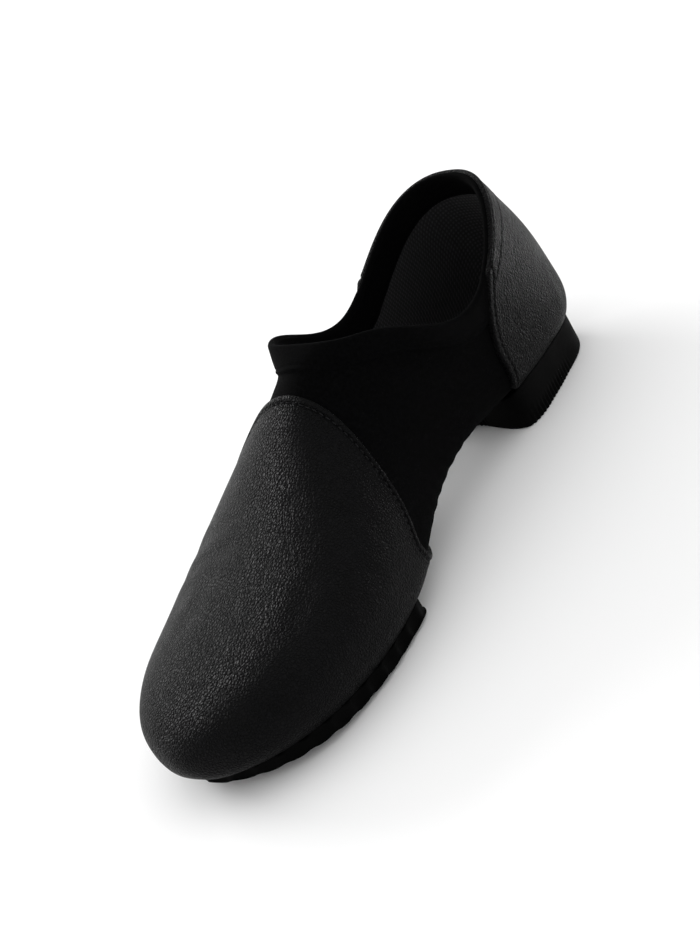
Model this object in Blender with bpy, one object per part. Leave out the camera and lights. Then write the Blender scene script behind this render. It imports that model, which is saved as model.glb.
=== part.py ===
"""A slip-on jazz shoe with a split sole, for the right foot, standing on the floor.

Metres, +Z up. The toe points to -X and the big-toe side faces -Y. The origin is on the
floor, under the middle of the shoe's box.

Every soft piece is an offset of one surface, the last. The last is lofted from sections
that run like the rings of a sock: upright across the forefoot, then fanned about the
throat until the final section is the rim of the collar. A point on it is given by its
place along the sections, 0 at the toe to LAST_ROW at the rim, and by its turn round the
section, 0 at the bottom or back, pi at the top or front, negative on the big-toe side.
"""

import math

import bmesh
import bpy
import numpy as np
from mathutils import Vector
from mathutils.bvhtree import BVHTree

MM = 0.001

# Driving dimensions of the last, which is the inside of the shoe
LAST_LENGTH = 238 * MM
BALL_WIDTH = 82 * MM
HEEL_WIDTH = 54 * MM
INSTEP_HEIGHT = 71 * MM     # collar's front above the forepart's bed
BACK_HEIGHT = 61 * MM       # collar's back above the heel's bed
COLLAR_DIP = 22.5 * MM      # how far the collar drops at the sides
TOE_SPRING = 7 * MM
INSTEP_RIDGE = 5 * MM       # how far the crest of the instep leans to the big toe
TOE_SWING = 6 * MM          # how far the tip of the toe lies towards the big toe

# Thicknesses
WALL = 1.8 * MM             # stretch fabric with its lining
LEATHER = 1.1 * MM
EDGE_BEAD = 0.5 * MM        # extra thickness of the turned edges of the leather
HEM_STEP = 0.9 * MM         # extra thickness of the hemmed band of the collar
OUTSOLE = 3.0 * MM
HEEL_HEIGHT = 12.0 * MM
INSOLE = 2.0 * MM
GAP = 0.3 * MM              # left between neighbouring pieces

# Lengths along the surface
HEM_WIDTH = 10 * MM
BEAD_WIDTH = 3.2 * MM
BEAD_SLOPE = 1.1 * MM       # from the bead down to the plain leather

# The rubber pieces
OUTSOLE_INSET = 4.5 * MM    # from the widest outline of the forepart
TOE_INSET = 3.6 * MM        # as much more at the toe, growing over TOE_INSET_LENGTH
TOE_INSET_LENGTH = 30 * MM
OUTSOLE_END = 95 * MM       # from the tip of the last to the pad's rear edge
OUTSOLE_REAR_BOW = 3.5 * MM # how far that edge bows towards the heel
LUG_COUNT = 32
LUG_REACH = 1.1 * MM
LUG_DEPTH = 1.2 * MM
LUG_FADE = 8 * MM           # the lugs fade out over this length towards the rear edge
BLOCK_LENGTH = 58 * MM
BLOCK_SETBACK = 3.8 * MM    # from the counter's back to where the block's length starts
BLOCK_RISE = 1.9 * MM       # how far up the counter's rounded foot the block reaches
BLOCK_BREAST_CURVE = 2.5 * MM
BLOCK_BEVEL = 0.8 * MM
NEARBY = 1.5 * MM           # the rubber clears the leather over this far round each point
TREAD_FLAT = 0.5 * MM       # a bottom this close to the floor lies on it
BLOCK_CORNER = 5 * MM

FOREPART_BED = OUTSOLE + GAP + LEATHER + GAP + WALL
HEEL_BED = HEEL_HEIGHT + GAP + LEATHER + GAP + WALL
SEAT_RISE = HEEL_BED - FOREPART_BED

# The last's outline seen from the side, from the collar's front over the toe to the
# collar's back. Each row is a share of the last's length, then the shares of the named
# heights that lift it above the forepart's bed.
PROFILE = np.array([
    # length, instep, spring, seat, back
    (0.550, 1.000, 0.00, 0.00, 0.000),
    (0.496, 0.905, 0.00, 0.00, 0.000),
    (0.420, 0.750, 0.00, 0.00, 0.000),
    (0.336, 0.595, 0.00, 0.00, 0.000),
    (0.252, 0.487, 0.00, 0.00, 0.000),
    (0.168, 0.425, 0.00, 0.00, 0.000),
    (0.092, 0.375, 0.00, 0.00, 0.000),
    (0.040, 0.312, 0.00, 0.00, 0.000),
    (0.010, 0.240, 0.00, 0.00, 0.000),
    (0.000, 0.071, 1.00, 0.00, 0.000),
    (0.009, 0.000, 0.97, 0.00, 0.000),
    (0.030, 0.000, 0.72, 0.00, 0.000),
    (0.065, 0.000, 0.53, 0.00, 0.000),
    (0.126, 0.000, 0.25, 0.00, 0.000),
    (0.189, 0.000, 0.06, 0.00, 0.000),
    (0.252, 0.000, 0.00, 0.00, 0.000),
    (0.336, 0.000, 0.00, 0.00, 0.000),
    (0.395, 0.000, 0.00, 0.06, 0.000),
    (0.450, 0.000, 0.00, 0.33, 0.000),
    (0.510, 0.000, 0.00, 0.78, 0.000),
    (0.580, 0.000, 0.00, 1.20, 0.000),
    (0.650, 0.000, 0.00, 1.36, 0.000),
    (0.720, 0.000, 0.00, 1.22, 0.000),
    (0.790, 0.000, 0.00, 1.04, 0.000),
    (0.860, 0.000, 0.00, 0.96, 0.000),
    (0.925, 0.000, 0.00, 0.90, 0.000),
    (0.970, 0.000, 0.00, 0.88, 0.016),
    (0.991, 0.000, 0.00, 0.88, 0.085),
    (0.999, 0.000, 0.00, 0.88, 0.225),
    (1.000, 0.000, 0.00, 0.90, 0.395),
    (0.992, 0.000, 0.00, 0.93, 0.570),
    (0.977, 0.000, 0.00, 0.96, 0.735),
    (0.962, 0.000, 0.00, 0.98, 0.885),
    (0.950, 0.000, 0.00, 1.00, 1.000),
])
TIP_ROW = int(np.argmin(PROFILE[:, 0]))

# Sections of the last. A section joins a point of the bottom line to one of the top line,
# both given as shares of the line's run from the tip of the toe. The half widths are
# shares of the ball's width, or of the heel's by the share in rear. Level is where the
# section is widest, low and high are the powers of its curve below and above that, and
# dip is the share of the collar's dip.
SECTIONS = np.array([
    # bottom, top, inner, outer, rear, swing, ridge, level, low, high, dip
    (0.0000, 0.000, 0.000, 0.000, 0.00, 1.00, 0.00, 0.45, 2.3, 2.3, 0.000),
    (0.0190, 0.041, 0.126, 0.122, 0.00, 1.00, 0.05, 0.45, 2.4, 2.3, 0.000),
    (0.0385, 0.084, 0.240, 0.238, 0.00, 0.98, 0.10, 0.44, 2.6, 2.4, 0.000),
    (0.0690, 0.150, 0.342, 0.334, 0.00, 0.88, 0.20, 0.42, 3.0, 2.4, 0.000),
    (0.1160, 0.247, 0.420, 0.416, 0.00, 0.71, 0.40, 0.40, 3.4, 2.4, 0.000),
    (0.1670, 0.351, 0.462, 0.460, 0.00, 0.48, 0.62, 0.38, 3.7, 2.3, 0.000),
    (0.2170, 0.456, 0.488, 0.486, 0.00, 0.22, 0.82, 0.36, 3.8, 2.2, 0.000),
    (0.2680, 0.559, 0.491, 0.491, 0.00, -0.05, 0.96, 0.34, 3.8, 2.1, 0.000),
    (0.3190, 0.654, 0.471, 0.471, 0.00, -0.30, 1.00, 0.33, 3.7, 2.05, 0.000),
    (0.3700, 0.733, 0.437, 0.437, 0.00, -0.47, 0.98, 0.32, 3.4, 2.0, 0.000),
    (0.4280, 0.791, 0.420, 0.420, 0.15, -0.53, 0.92, 0.31, 3.1, 2.0, 0.020),
    (0.4910, 0.835, 0.428, 0.428, 0.40, -0.48, 0.84, 0.30, 3.0, 2.05, 0.085),
    (0.5590, 0.869, 0.463, 0.463, 0.70, -0.36, 0.74, 0.30, 3.2, 2.1, 0.180),
    (0.6260, 0.892, 0.496, 0.496, 0.90, -0.25, 0.62, 0.32, 3.7, 2.15, 0.290),
    (0.6940, 0.911, 0.508, 0.508, 1.00, -0.17, 0.50, 0.34, 3.7, 2.2, 0.405),
    (0.7550, 0.927, 0.505, 0.505, 1.00, -0.11, 0.40, 0.37, 3.0, 2.3, 0.520),
    (0.8000, 0.941, 0.502, 0.502, 1.00, -0.08, 0.30, 0.40, 2.55, 2.4, 0.620),
    (0.8350, 0.952, 0.499, 0.499, 1.00, -0.05, 0.22, 0.43, 2.35, 2.5, 0.715),
    (0.8750, 0.9645, 0.497, 0.497, 1.00, -0.03, 0.15, 0.46, 2.25, 2.6, 0.800),
    (0.9170, 0.977, 0.496, 0.496, 1.00, -0.01, 0.09, 0.48, 2.25, 2.7, 0.880),
    (0.9580, 0.9885, 0.498, 0.498, 1.00, 0.00, 0.04, 0.49, 2.25, 2.8, 0.945),
    (1.0000, 1.000, 0.502, 0.502, 1.00, 0.00, 0.00, 0.50, 2.25, 2.9, 1.000),
])
LAST_ROW = len(SECTIONS) - 1
DIP_POWER = 1.4             # how softly the dip starts at the back
DIP_EASE = 0.7              # how much softer it ends at the front


def smooth(knots, values, at):
    """The natural cubic spline through values at knots, read at the places in at."""
    knots = np.asarray(knots, float)
    values = np.asarray(values, float)
    at = np.asarray(at, float)
    steps = np.diff(knots)
    wide = steps.reshape((-1,) + (1,) * (values.ndim - 1))
    matrix = np.eye(len(knots))
    for i in range(1, len(knots) - 1):
        matrix[i, i - 1:i + 2] = steps[i - 1], 2 * (steps[i - 1] + steps[i]), steps[i]
    right = np.zeros_like(values)
    right[1:-1] = 6 * np.diff(np.diff(values, axis=0) / wide, axis=0)
    bend = np.linalg.solve(matrix, right)
    i = np.clip(np.searchsorted(knots, at, side="right") - 1, 0, len(knots) - 2)
    step = steps[i]
    before = (knots[i + 1] - at) / step
    if values.ndim == 2:
        step, before = step[..., None], before[..., None]
    after = 1 - before
    curve = (before ** 3 - before) * bend[i] + (after ** 3 - after) * bend[i + 1]
    return before * values[i] + after * values[i + 1] + curve * step ** 2 / 6


def profile_points():
    """The profile's rows as points (x, z)."""
    lifts = np.array([INSTEP_HEIGHT, TOE_SPRING, SEAT_RISE, BACK_HEIGHT])
    heights = FOREPART_BED + PROFILE[:, 1:] @ lifts
    return np.stack([PROFILE[:, 0] * LAST_LENGTH, heights], axis=1)


PROFILE_POINTS = profile_points()
RUN = np.concatenate([[0], np.cumsum(np.hypot(*np.diff(PROFILE_POINTS, axis=0).T))])
TIP_RUN = RUN[TIP_ROW]


def last_points(row, turn):
    """The last's points at these places along and round it.

    The section runs from foot to head in the plane of the shoe's length. A polar
    superellipse gives the share of that run and the half width at each turn, with its
    power and centre eased from the low half to the high half, and the dip bends the
    section out of its plane by a power of a sine of the same share.
    """
    row, turn = np.broadcast_arrays(np.asarray(row, float), np.asarray(turn, float))
    table = smooth(np.arange(len(SECTIONS)), SECTIONS, row)
    bottom, top, inner, outer, rear, swing, ridge, level, low, high, dip = np.moveaxis(table, -1, 0)
    foot = smooth(RUN, PROFILE_POINTS, TIP_RUN + bottom * (RUN[-1] - TIP_RUN))
    head = smooth(RUN, PROFILE_POINTS, TIP_RUN - top * TIP_RUN)
    run = head - foot
    length = np.maximum(np.hypot(run[..., 0], run[..., 1]), 1e-9)
    across = np.stack([-run[..., 1], run[..., 0]], axis=-1) / length[..., None]
    ease = np.sin(turn / 2) ** 2
    power = low + (high - low) * ease
    cos, sin = np.cos(turn), np.sin(turn)
    radius = (np.abs(cos) ** power + np.abs(sin) ** power) ** (-1 / power)
    share = level - (level + (1 - 2 * level) * ease) * cos * radius
    share = np.clip(share, 0, 1)
    width = np.where(sin < 0, inner, outer) * (BALL_WIDTH + (HEEL_WIDTH - BALL_WIDTH) * rear)
    sag = COLLAR_DIP * dip * np.sin(math.pi * share) ** (DIP_POWER + DIP_EASE * share)
    flat = foot + run * share[..., None] + across * sag[..., None]
    y = width * sin * radius - TOE_SWING * swing - INSTEP_RIDGE * ridge * share ** 2
    return np.stack([flat[..., 0], y, flat[..., 1]], axis=-1)


def last_normals(row, turn):
    """Outward unit normals, from differences along and round the last."""
    row, turn = np.broadcast_arrays(np.asarray(row, float), np.asarray(turn, float))
    row = np.clip(row, 0.03, LAST_ROW)
    ahead = last_points(np.minimum(row + 0.02, LAST_ROW), turn) - last_points(row - 0.02, turn)
    round_ = last_points(row, turn + 0.01) - last_points(row, turn - 0.01)
    normal = np.cross(round_, ahead)
    return normal / np.linalg.norm(normal, axis=-1, keepdims=True)


def offset_points(row, turn, out):
    """The last's surface moved outwards by out, a number or an array."""
    out = np.broadcast_to(np.asarray(out, float), np.broadcast(row, turn).shape)
    return last_points(row, turn) + last_normals(row, turn) * out[..., None]


# The rear edge of the vamp: how far along the last it lies at each turn
VAMP_SEAM = np.array([
    # degrees round from the bottom, length
    (0, 0.464),
    (20, 0.468),
    (34, 0.472),
    (45, 0.463),
    (56, 0.434),
    (70, 0.416),
    (88, 0.409),
    (106, 0.423),
    (120, 0.440),
    (134, 0.460),
    (146, 0.473),
    (157, 0.479),
    (168, 0.481),
    (180, 0.482),
])
SEAM_REACH = (6, 14)        # the vamp's edge lies between these rows

# The front edge of the heel counter, seen from the side, from its foot to the collar
COUNTER_EDGE = np.array([
    # share of the back's height above the heel's bed, length
    (-0.10, 0.752),
    (0.05, 0.748),
    (0.17, 0.746),
    (0.30, 0.750),
    (0.43, 0.760),
    (0.56, 0.779),
    (0.70, 0.809),
    (0.85, 0.850),
])
BREAST_ROW = 13.05
BREAST_ROW_AT_TOP = 13.6

# Where the faceted solids have their vertices: turns in degrees, and rows as shares of
# the bands from the toe to the vamp's seam, on to the breast, to the hem and to the rim
TURNS = (0, 14, 25, 33, 39.5, 45, 51, 60, 70, 82, 90, 101, 113, 126, 139, 151, 163, 180)
FIXED_TURNS = 8
HEM_FROM = 85               # the hemmed band stops short of the counter, in degrees
HEM_REACH = 9               # the hem lies within this many rows of the rim
COUNTER_SIDE = (0.36, 0.72, 1.0)    # columns from the last fixed turn to the counter's edge
TOE_BAND = np.array([0, 0.5, 1, 1.5, 2, 2.6, 3.2, 3.9, 4.7, 5.5, 6.3, 7.1, 7.9, 8.6, 9.2]) / 9.2
MIDDLE_BAND = np.array([0.2, 0.4, 0.6, 0.8, 1.0])
HEEL_BAND = np.array([0.07, 0.15, 0.23, 0.29, 0.34, 0.40, 0.45, 0.51, 0.56, 0.63, 0.73, 0.85, 1.0])
HEM_BAND = np.array([0.07, 1.0])

# The rubber pieces: the rows that the pad's edge follows, from its rear to the toe, the
# half width share of its rear edge's bow, the ends of each piece's spine as shares of the
# last's length, and the rings as shares from that spine to the edge
OUTSOLE_ROWS = (7.7, 7.0, 6.0, 5.0, 4.0, 3.1, 2.2, 1.4)
OUTSOLE_BOW_SHARE = 0.62
OUTSOLE_SPINE = (0.24, 0.32)
OUTSOLE_RINGS = (0.2, 0.55, 0.82, 0.90, 1.0)
LUG_SHARE = 0.15            # how far in from the edge the lugs are cut
BLOCK_SPINE = (0.86, 0.90)
SEAT_ENDS = (0.79, 0.925)   # where the straight line of the heel's seat is taken from
BLOCK_RINGS = (0.25, 0.6, 0.85, 0.97, 1.0)
BLOCK_COUNT = 64

# The insole's first and last step among those bands, the steps and width shares of its
# rounded ends, and how many of the turns it takes up
INSOLE_STEPS = (4, 25)
INSOLE_END_STEPS = (0, 0.35, 0.9, 1.6)
INSOLE_END_WIDTHS = (0.45, 0.72, 0.88, 0.97)
INSOLE_TURNS = 5

# The openings under the forepart and the heel, as steps of those bands
OPEN_TURNS = 3
FOREPART_OPENING = (5, 12)
HEEL_OPENING = (1, 4)


def line_turns():
    """The turns of the columns, from the top round the big-toe side and back."""
    half = np.radians(TURNS)
    return np.concatenate([-half[::-1], half[1:-1]])


def seam_rows(turn):
    """The rows of the vamp's rear edge, where the last reaches the edge's length."""
    share = smooth(np.radians(VAMP_SEAM[:, 0]), VAMP_SEAM[:, 1], np.abs(turn))
    rows = np.linspace(*SEAM_REACH, 90)
    reached = last_points(rows[:, None], turn)[..., 0] / LAST_LENGTH
    return np.array([np.interp(share[k], reached[:, k], rows) for k in range(len(turn))])


def rows_at_distance(start, reach, turn, distance):
    """The rows that lie a distance along the surface from start, looking towards reach."""
    steps = np.linspace(0, 1, 60)
    rows = start + (reach - start) * steps[:, None]
    points = last_points(rows, turn)
    run = np.cumsum(np.linalg.norm(np.diff(points, axis=0), axis=2), axis=0)
    run = np.concatenate([np.zeros((1, run.shape[1])), run])
    return np.array([np.interp(distance, run[:, k], rows[:, k]) for k in range(run.shape[1])])


def hem_rows(turn):
    """The rows where the hemmed band of the collar begins."""
    rim = np.full(np.shape(turn), float(LAST_ROW))
    return rows_at_distance(rim, rim - HEM_REACH, turn, HEM_WIDTH)


def breast_rows(turn):
    return BREAST_ROW + (BREAST_ROW_AT_TOP - BREAST_ROW) * np.sin(np.abs(turn) / 2) ** 4


def band(start, end, shares):
    return start + (end - start) * np.asarray(shares)[:, None]


def toe_rows(turn):
    """The rows from the tip of the toe to the vamp's seam, the last two at its bead."""
    seam = seam_rows(turn)
    bead = rows_at_distance(seam, seam - 2, turn, BEAD_WIDTH)
    groove = rows_at_distance(seam, seam - 2, turn, BEAD_WIDTH + BEAD_SLOPE)
    return np.concatenate([band(np.zeros_like(seam), groove, TOE_BAND), bead[None], seam[None]])


def counter_edge(row):
    """The turn at which each row meets the counter's front edge."""
    turn = np.radians(np.linspace(40, 120, 200))
    points = last_points(np.asarray(row)[:, None], turn)
    height = (points[..., 2] - HEEL_BED) / BACK_HEIGHT
    edge = smooth(COUNTER_EDGE[:, 0], COUNTER_EDGE[:, 1], np.clip(height, -0.1, 0.85))
    past = edge * LAST_LENGTH - points[..., 0]
    return np.array([np.interp(0, line, turn) for line in past])


def heel_rows(turn):
    """The rows from the breast to the rim."""
    breast, hem = breast_rows(turn), hem_rows(turn)
    rim = np.full(turn.shape, float(LAST_ROW))
    return np.concatenate([breast[None], band(breast, hem, HEEL_BAND), band(hem, rim, HEM_BAND)])


def make_mesh(points, faces):
    """A closed mesh of these faces, with shared points merged and normals outwards."""
    built = bmesh.new()
    vertices = [built.verts.new(point) for point in points]
    for face in faces:
        built.faces.new([vertices[k] for k in face])
    bmesh.ops.delete(built, geom=[v for v in built.verts if not v.link_faces], context="VERTS")
    bmesh.ops.recalc_face_normals(built, faces=built.faces)
    return built


def sheet_faces(rows, columns, closed, tip, opening=lambda i, j: False):
    """The triangles of a grid as point numbers, each quad cut along the same diagonal,
    mirrored about the middle column. Closed joins the last column to the first, and tip
    makes the first row one point."""
    faces = []
    for i in range(rows - 1):
        for j in range(columns if closed else columns - 1):
            if opening(i, j):
                continue
            k = (j + 1) % columns
            quad = [(i, j), (i + 1, j), (i + 1, k), (i, k)]
            a, b, c, d = [0 if tip and row == 0 else row * columns + column for row, column in quad]
            halves = [(a, b, c), (a, c, d)] if j < columns // 2 else [(a, b, d), (b, c, d)]
            faces += [half for half in halves if len(set(half)) == 3]
    return faces


def shell(inside, outside, closed=False, tip=False, opening=lambda i, j: False):
    """A wall between two grids of points, closed along each free edge."""
    rows, columns = inside.shape[:2]
    count = rows * columns
    faces = sheet_faces(rows, columns, closed, tip, opening)
    edges = {(f[k], f[(k + 1) % 3]) for f in faces for k in range(3)}
    walls = [[a, b, b + count, a + count] for a, b in sorted(edges) if (b, a) not in edges]
    back = [[k + count for k in reversed(face)] for face in faces]
    points = np.concatenate([outside.reshape(-1, 3), inside.reshape(-1, 3)])
    return make_mesh(points, faces + walls + back)


def all_rows(turn):
    """Every row of the faceted solids, from the tip of the toe to the rim."""
    front, heel = toe_rows(turn), heel_rows(turn)
    return np.concatenate([front, band(front[-1], heel[0], MIDDLE_BAND), heel[1:]])


def leather_guide():
    """The outside of the leather as one closed sheet, for the rubber that fits under it."""
    turn = line_turns()
    rows = all_rows(turn)
    points = offset_points(rows, np.broadcast_to(turn, rows.shape), WALL + GAP + LEATHER)
    faces = sheet_faces(*rows.shape, closed=True, tip=True)
    return BVHTree.FromPolygons([tuple(p) for p in points.reshape(-1, 3)], faces)


def upper_mesh():
    """The stretch body and its lining: one wall from toe to collar, thicker at the hem,
    open at the collar and under the forepart and the heel."""
    turn = line_turns()
    rows = all_rows(turn)
    turns = np.broadcast_to(turn, rows.shape)
    thick = np.full(rows.shape, WALL)
    past_counter = np.abs(turn) > np.radians(HEM_FROM)
    thick[-len(HEM_BAND):] += HEM_STEP * past_counter
    first_heel_row = len(rows) - len(HEEL_BAND) - len(HEM_BAND) - 1
    middle_column = len(TURNS) - 1

    def opening(i, j):
        if not middle_column - OPEN_TURNS <= j < middle_column + OPEN_TURNS:
            return False
        step = i - first_heel_row
        return (FOREPART_OPENING[0] <= i < FOREPART_OPENING[1]
                or HEEL_OPENING[0] <= step < HEEL_OPENING[1])

    inside, outside = last_points(rows, turns), offset_points(rows, turns, thick)
    return shell(inside, outside, closed=True, tip=True, opening=opening)


def vamp_mesh():
    """The leather over the toe and instep, wrapped under the foot, its rear edge turned
    into a bead."""
    turn = line_turns()
    rows = toe_rows(turn)
    turns = np.broadcast_to(turn, rows.shape)
    thick = np.full(rows.shape, LEATHER)
    thick[-2:] += EDGE_BEAD
    middle_column = len(TURNS) - 1

    def opening(i, j):
        if not middle_column - OPEN_TURNS <= j < middle_column + OPEN_TURNS:
            return False
        return FOREPART_OPENING[0] <= i < FOREPART_OPENING[1]

    inside = offset_points(rows, turns, WALL + GAP)
    outside = offset_points(rows, turns, WALL + GAP + thick)
    return shell(inside, outside, closed=True, tip=True, opening=opening)


def counter_mesh():
    """The leather cup round the heel, from its front edge to the rim."""
    half = np.radians(TURNS[:FIXED_TURNS])
    middle = np.concatenate([-half[::-1], half[1:]])
    rows = heel_rows(middle)
    edge = counter_edge(rows[:, -1])[:, None]
    past = half[-1] + (edge - half[-1]) * np.array(COUNTER_SIDE)
    turns = np.concatenate([-past[:, ::-1], np.broadcast_to(middle, rows.shape), past], axis=1)
    rows = np.array([heel_rows(line)[i] for i, line in enumerate(turns)])
    thick = np.full(rows.shape, LEATHER)
    thick[:, [0, -1]] += EDGE_BEAD
    middle_column = rows.shape[1] // 2

    def opening(i, j):
        if not middle_column - OPEN_TURNS <= j < middle_column + OPEN_TURNS:
            return False
        return HEEL_OPENING[0] <= i < HEEL_OPENING[1]

    inside = offset_points(rows, turns, WALL + GAP)
    outside = offset_points(rows, turns, WALL + GAP + thick)
    return shell(inside, outside, opening=opening)


def closed_curve(points, count):
    """A smooth closed curve through these points, as count points and outward normals."""
    points = np.asarray(points)
    tiled = np.concatenate([points, points, points, points[:1]])
    run = np.concatenate([[0], np.cumsum(np.linalg.norm(np.diff(tiled, axis=0), axis=1))])
    start, end = run[len(points)], run[2 * len(points)]
    at = start + (end - start) * np.arange(count) / count
    curve = smooth(run, tiled, at)
    ahead = smooth(run, tiled, at + 1 * MM) - smooth(run, tiled, at - 1 * MM)
    ahead /= np.linalg.norm(ahead, axis=1, keepdims=True)
    return curve, np.stack([ahead[:, 1], -ahead[:, 0]], axis=1)


def height_under(tree):
    """A function of (x, y): the lowest point of this sheet close to there, or far above
    it beyond the sheet."""
    circle = np.radians(np.arange(0, 360, 45))
    near = [(0, 0)] + [(NEARBY * math.cos(t), NEARBY * math.sin(t)) for t in circle]
    start, way = -LAST_LENGTH, Vector((0, 0, 1))

    def height(x, y):
        hits = [tree.ray_cast(Vector((x + a, y + b, start)), way)[0] for a, b in near]
        return min((hit.z for hit in hits if hit), default=LAST_LENGTH)

    return height


def plate(outline, spine, shares, top, bottom):
    """A plate inside a closed outline: rings between the spine and the outline, with the
    innermost closed by one flat face above and below. Top and bottom give the height at
    (x, y, share, number round)."""
    count = len(outline)
    points, faces = [], []
    for height, order in ((top, shares), (bottom, shares[::-1])):
        for share in order:
            ring = spine + (outline - spine) * share
            points += [(x, y, height(x, y, share, k)) for k, (x, y) in enumerate(ring)]
    for ring in range(2 * len(shares) - 1):
        for k in range(count):
            a, b = ring * count + k, ring * count + (k + 1) % count
            faces.append([a, b, b + count, a + count])
    last = (2 * len(shares) - 1) * count
    faces.append(list(range(count)))
    faces.append([last + k for k in reversed(range(count))])
    return make_mesh(points, faces)


def bottom_centre(x):
    """The middle of the last's bottom at x, as (y, z)."""
    rows = np.linspace(0, 16, 120)
    points = last_points(rows, 0.0)
    return np.interp(x, points[:, 0], points[:, 1]), np.interp(x, points[:, 0], points[:, 2])


def outsole_outline():
    """The pad's edge: the vamp's own outline, set in, and a rounded rear edge."""
    rows = np.array(OUTSOLE_ROWS)
    stack = WALL + GAP + LEATHER
    inner = offset_points(rows, -math.pi / 2, stack)[:, :2]
    outer = offset_points(rows[::-1], math.pi / 2, stack)[:, :2]
    tip = offset_points(0.0, 0.0, stack)[None, :2]
    centre = bottom_centre(OUTSOLE_END)[0]
    edge = np.concatenate([inner, tip, outer])
    ahead = np.gradient(edge, axis=0)
    ahead /= np.linalg.norm(ahead, axis=1, keepdims=True)
    inset = OUTSOLE_INSET + TOE_INSET * np.clip(1 - edge[:, 0] / TOE_INSET_LENGTH, 0, 1)
    edge = edge + np.stack([ahead[:, 1], -ahead[:, 0]], axis=1) * inset[:, None]
    half = (edge[-1, 1] - edge[0, 1]) / 2
    side, bow = OUTSOLE_END - OUTSOLE_REAR_BOW, half * OUTSOLE_BOW_SHARE
    rear = [(side, centre + bow), (OUTSOLE_END, centre), (side, centre - bow)]
    return np.concatenate([edge, rear])


def lug_wave(count):
    """0 at the crown of each lug and 1 in the groove beside it, round the pad."""
    return 0.5 - 0.5 * np.cos(2 * math.pi * LUG_COUNT * np.arange(count) / count)


def outsole_mesh():
    """The forepart's rubber pad: it follows the vamp above, lies flat on the floor and
    lifts with the toe spring, and its edge is cut into rounded lugs."""
    count = 4 * LUG_COUNT
    outline, outwards = closed_curve(outsole_outline(), count)
    wave = lug_wave(count) * np.clip((OUTSOLE_END - LUG_FADE - outline[:, 0]) / LUG_FADE, 0, 1)
    outline = outline - outwards * (LUG_REACH * wave)[:, None]
    spine_x = np.clip(outline[:, 0], *(np.array(OUTSOLE_SPINE) * LAST_LENGTH))
    spine = np.stack([spine_x, bottom_centre(spine_x)[0]], axis=1)
    under = height_under(leather_guide())
    stack = WALL + GAP + LEATHER

    def top(x, y, share, k):
        return under(x, y) - GAP

    def bottom(x, y, share, k):
        spring = bottom_centre(x)[1] - stack
        height = (under(x, y) + spring) / 2 - GAP - OUTSOLE
        height = max(height - TREAD_FLAT, 0.0)
        cut = np.clip(2 * (share - 1 + LUG_SHARE) / LUG_SHARE, 0, 1)
        return height + LUG_DEPTH * wave[k] * cut

    return plate(outline, spine, OUTSOLE_RINGS, top, bottom)


def seat_height(x):
    """The counter's foot at x, on a straight line along the heel's seat."""
    ends = np.array(SEAT_ENDS) * LAST_LENGTH
    heights = bottom_centre(ends)[1] - (WALL + GAP + LEATHER)
    return heights[0] + (heights[1] - heights[0]) * (x - ends[0]) / (ends[1] - ends[0])


def foot_edge(under, start, way):
    """The point on the way out from start where the counter's foot has risen by
    BLOCK_RISE."""
    reach = np.linspace(0.25, 0.75, 60) * HEEL_WIDTH
    points = np.array(start) + reach[:, None] * np.array(way)
    rise = np.array([under(x, y) - seat_height(x) for x, y in points])
    found = np.interp(BLOCK_RISE, np.maximum.accumulate(rise), reach)
    return tuple(np.array(start) + found * np.array(way))


def block_outline(count, under):
    """A level line of the counter's foot round the back and the sides, closed by a hollow
    breast with rounded corners."""
    breast = LAST_LENGTH + WALL + GAP + LEATHER - BLOCK_SETBACK - BLOCK_LENGTH
    corner = BLOCK_CORNER
    turn = np.radians(np.linspace(-90, 90, 11))
    middle = BLOCK_SPINE[0] * LAST_LENGTH
    points = [foot_edge(under, (middle, 0), (math.cos(t), math.sin(t))) for t in turn]
    sides = []
    for sign in (1, -1):
        waist = foot_edge(under, (breast + BLOCK_LENGTH * 0.3, 0), (0, sign))
        side = foot_edge(under, (breast + corner, 0), (0, sign))
        bend = (breast + 0.3 * corner, side[1] - 0.3 * corner * sign)
        sides.append([waist, side, bend, (breast, side[1] - 1.2 * corner * sign)])
    hollow = [(breast + BLOCK_BREAST_CURVE, 0)]
    return closed_curve(points + sides[0] + hollow + sides[1][::-1], count)


def heel_block_mesh():
    """The heel's rubber block: its top is cupped to the counter and its bottom flat."""
    under = height_under(leather_guide())
    outline = block_outline(BLOCK_COUNT, under)[0]
    spine_x = np.clip(outline[:, 0], *(np.array(BLOCK_SPINE) * LAST_LENGTH))
    spine = np.stack([spine_x, np.zeros_like(spine_x)], axis=1)

    def top(x, y, share, k):
        return under(x, y) - GAP

    def bottom(x, y, share, k):
        return BLOCK_BEVEL if share == BLOCK_RINGS[-1] else 0.0

    return plate(outline, spine, BLOCK_RINGS, top, bottom)


def insole_mesh():
    """The thin sock liner on the inside of the bottom, rounded at the toe and heel. Its
    rows are the upper's own, with a few more between them at its ends."""
    ends = np.array(INSOLE_END_STEPS)
    first, last = INSOLE_STEPS
    steps = np.concatenate([first + ends, np.arange(first + 2, last - 1), last - ends[::-1]])
    widths = np.concatenate([INSOLE_END_WIDTHS, np.ones(last - first - 3), INSOLE_END_WIDTHS[::-1]])
    half = np.radians(TURNS[:INSOLE_TURNS])
    turns = widths[:, None] * np.concatenate([-half[:0:-1], half])
    rows = []
    for step, line in zip(steps, turns):
        lines = all_rows(line)
        before = int(step)
        rows.append(lines[before] + (lines[before + 1] - lines[before]) * (step - before))
    rows = np.array(rows)
    return shell(offset_points(rows, turns, -GAP - INSOLE), offset_points(rows, turns, -GAP))


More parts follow.
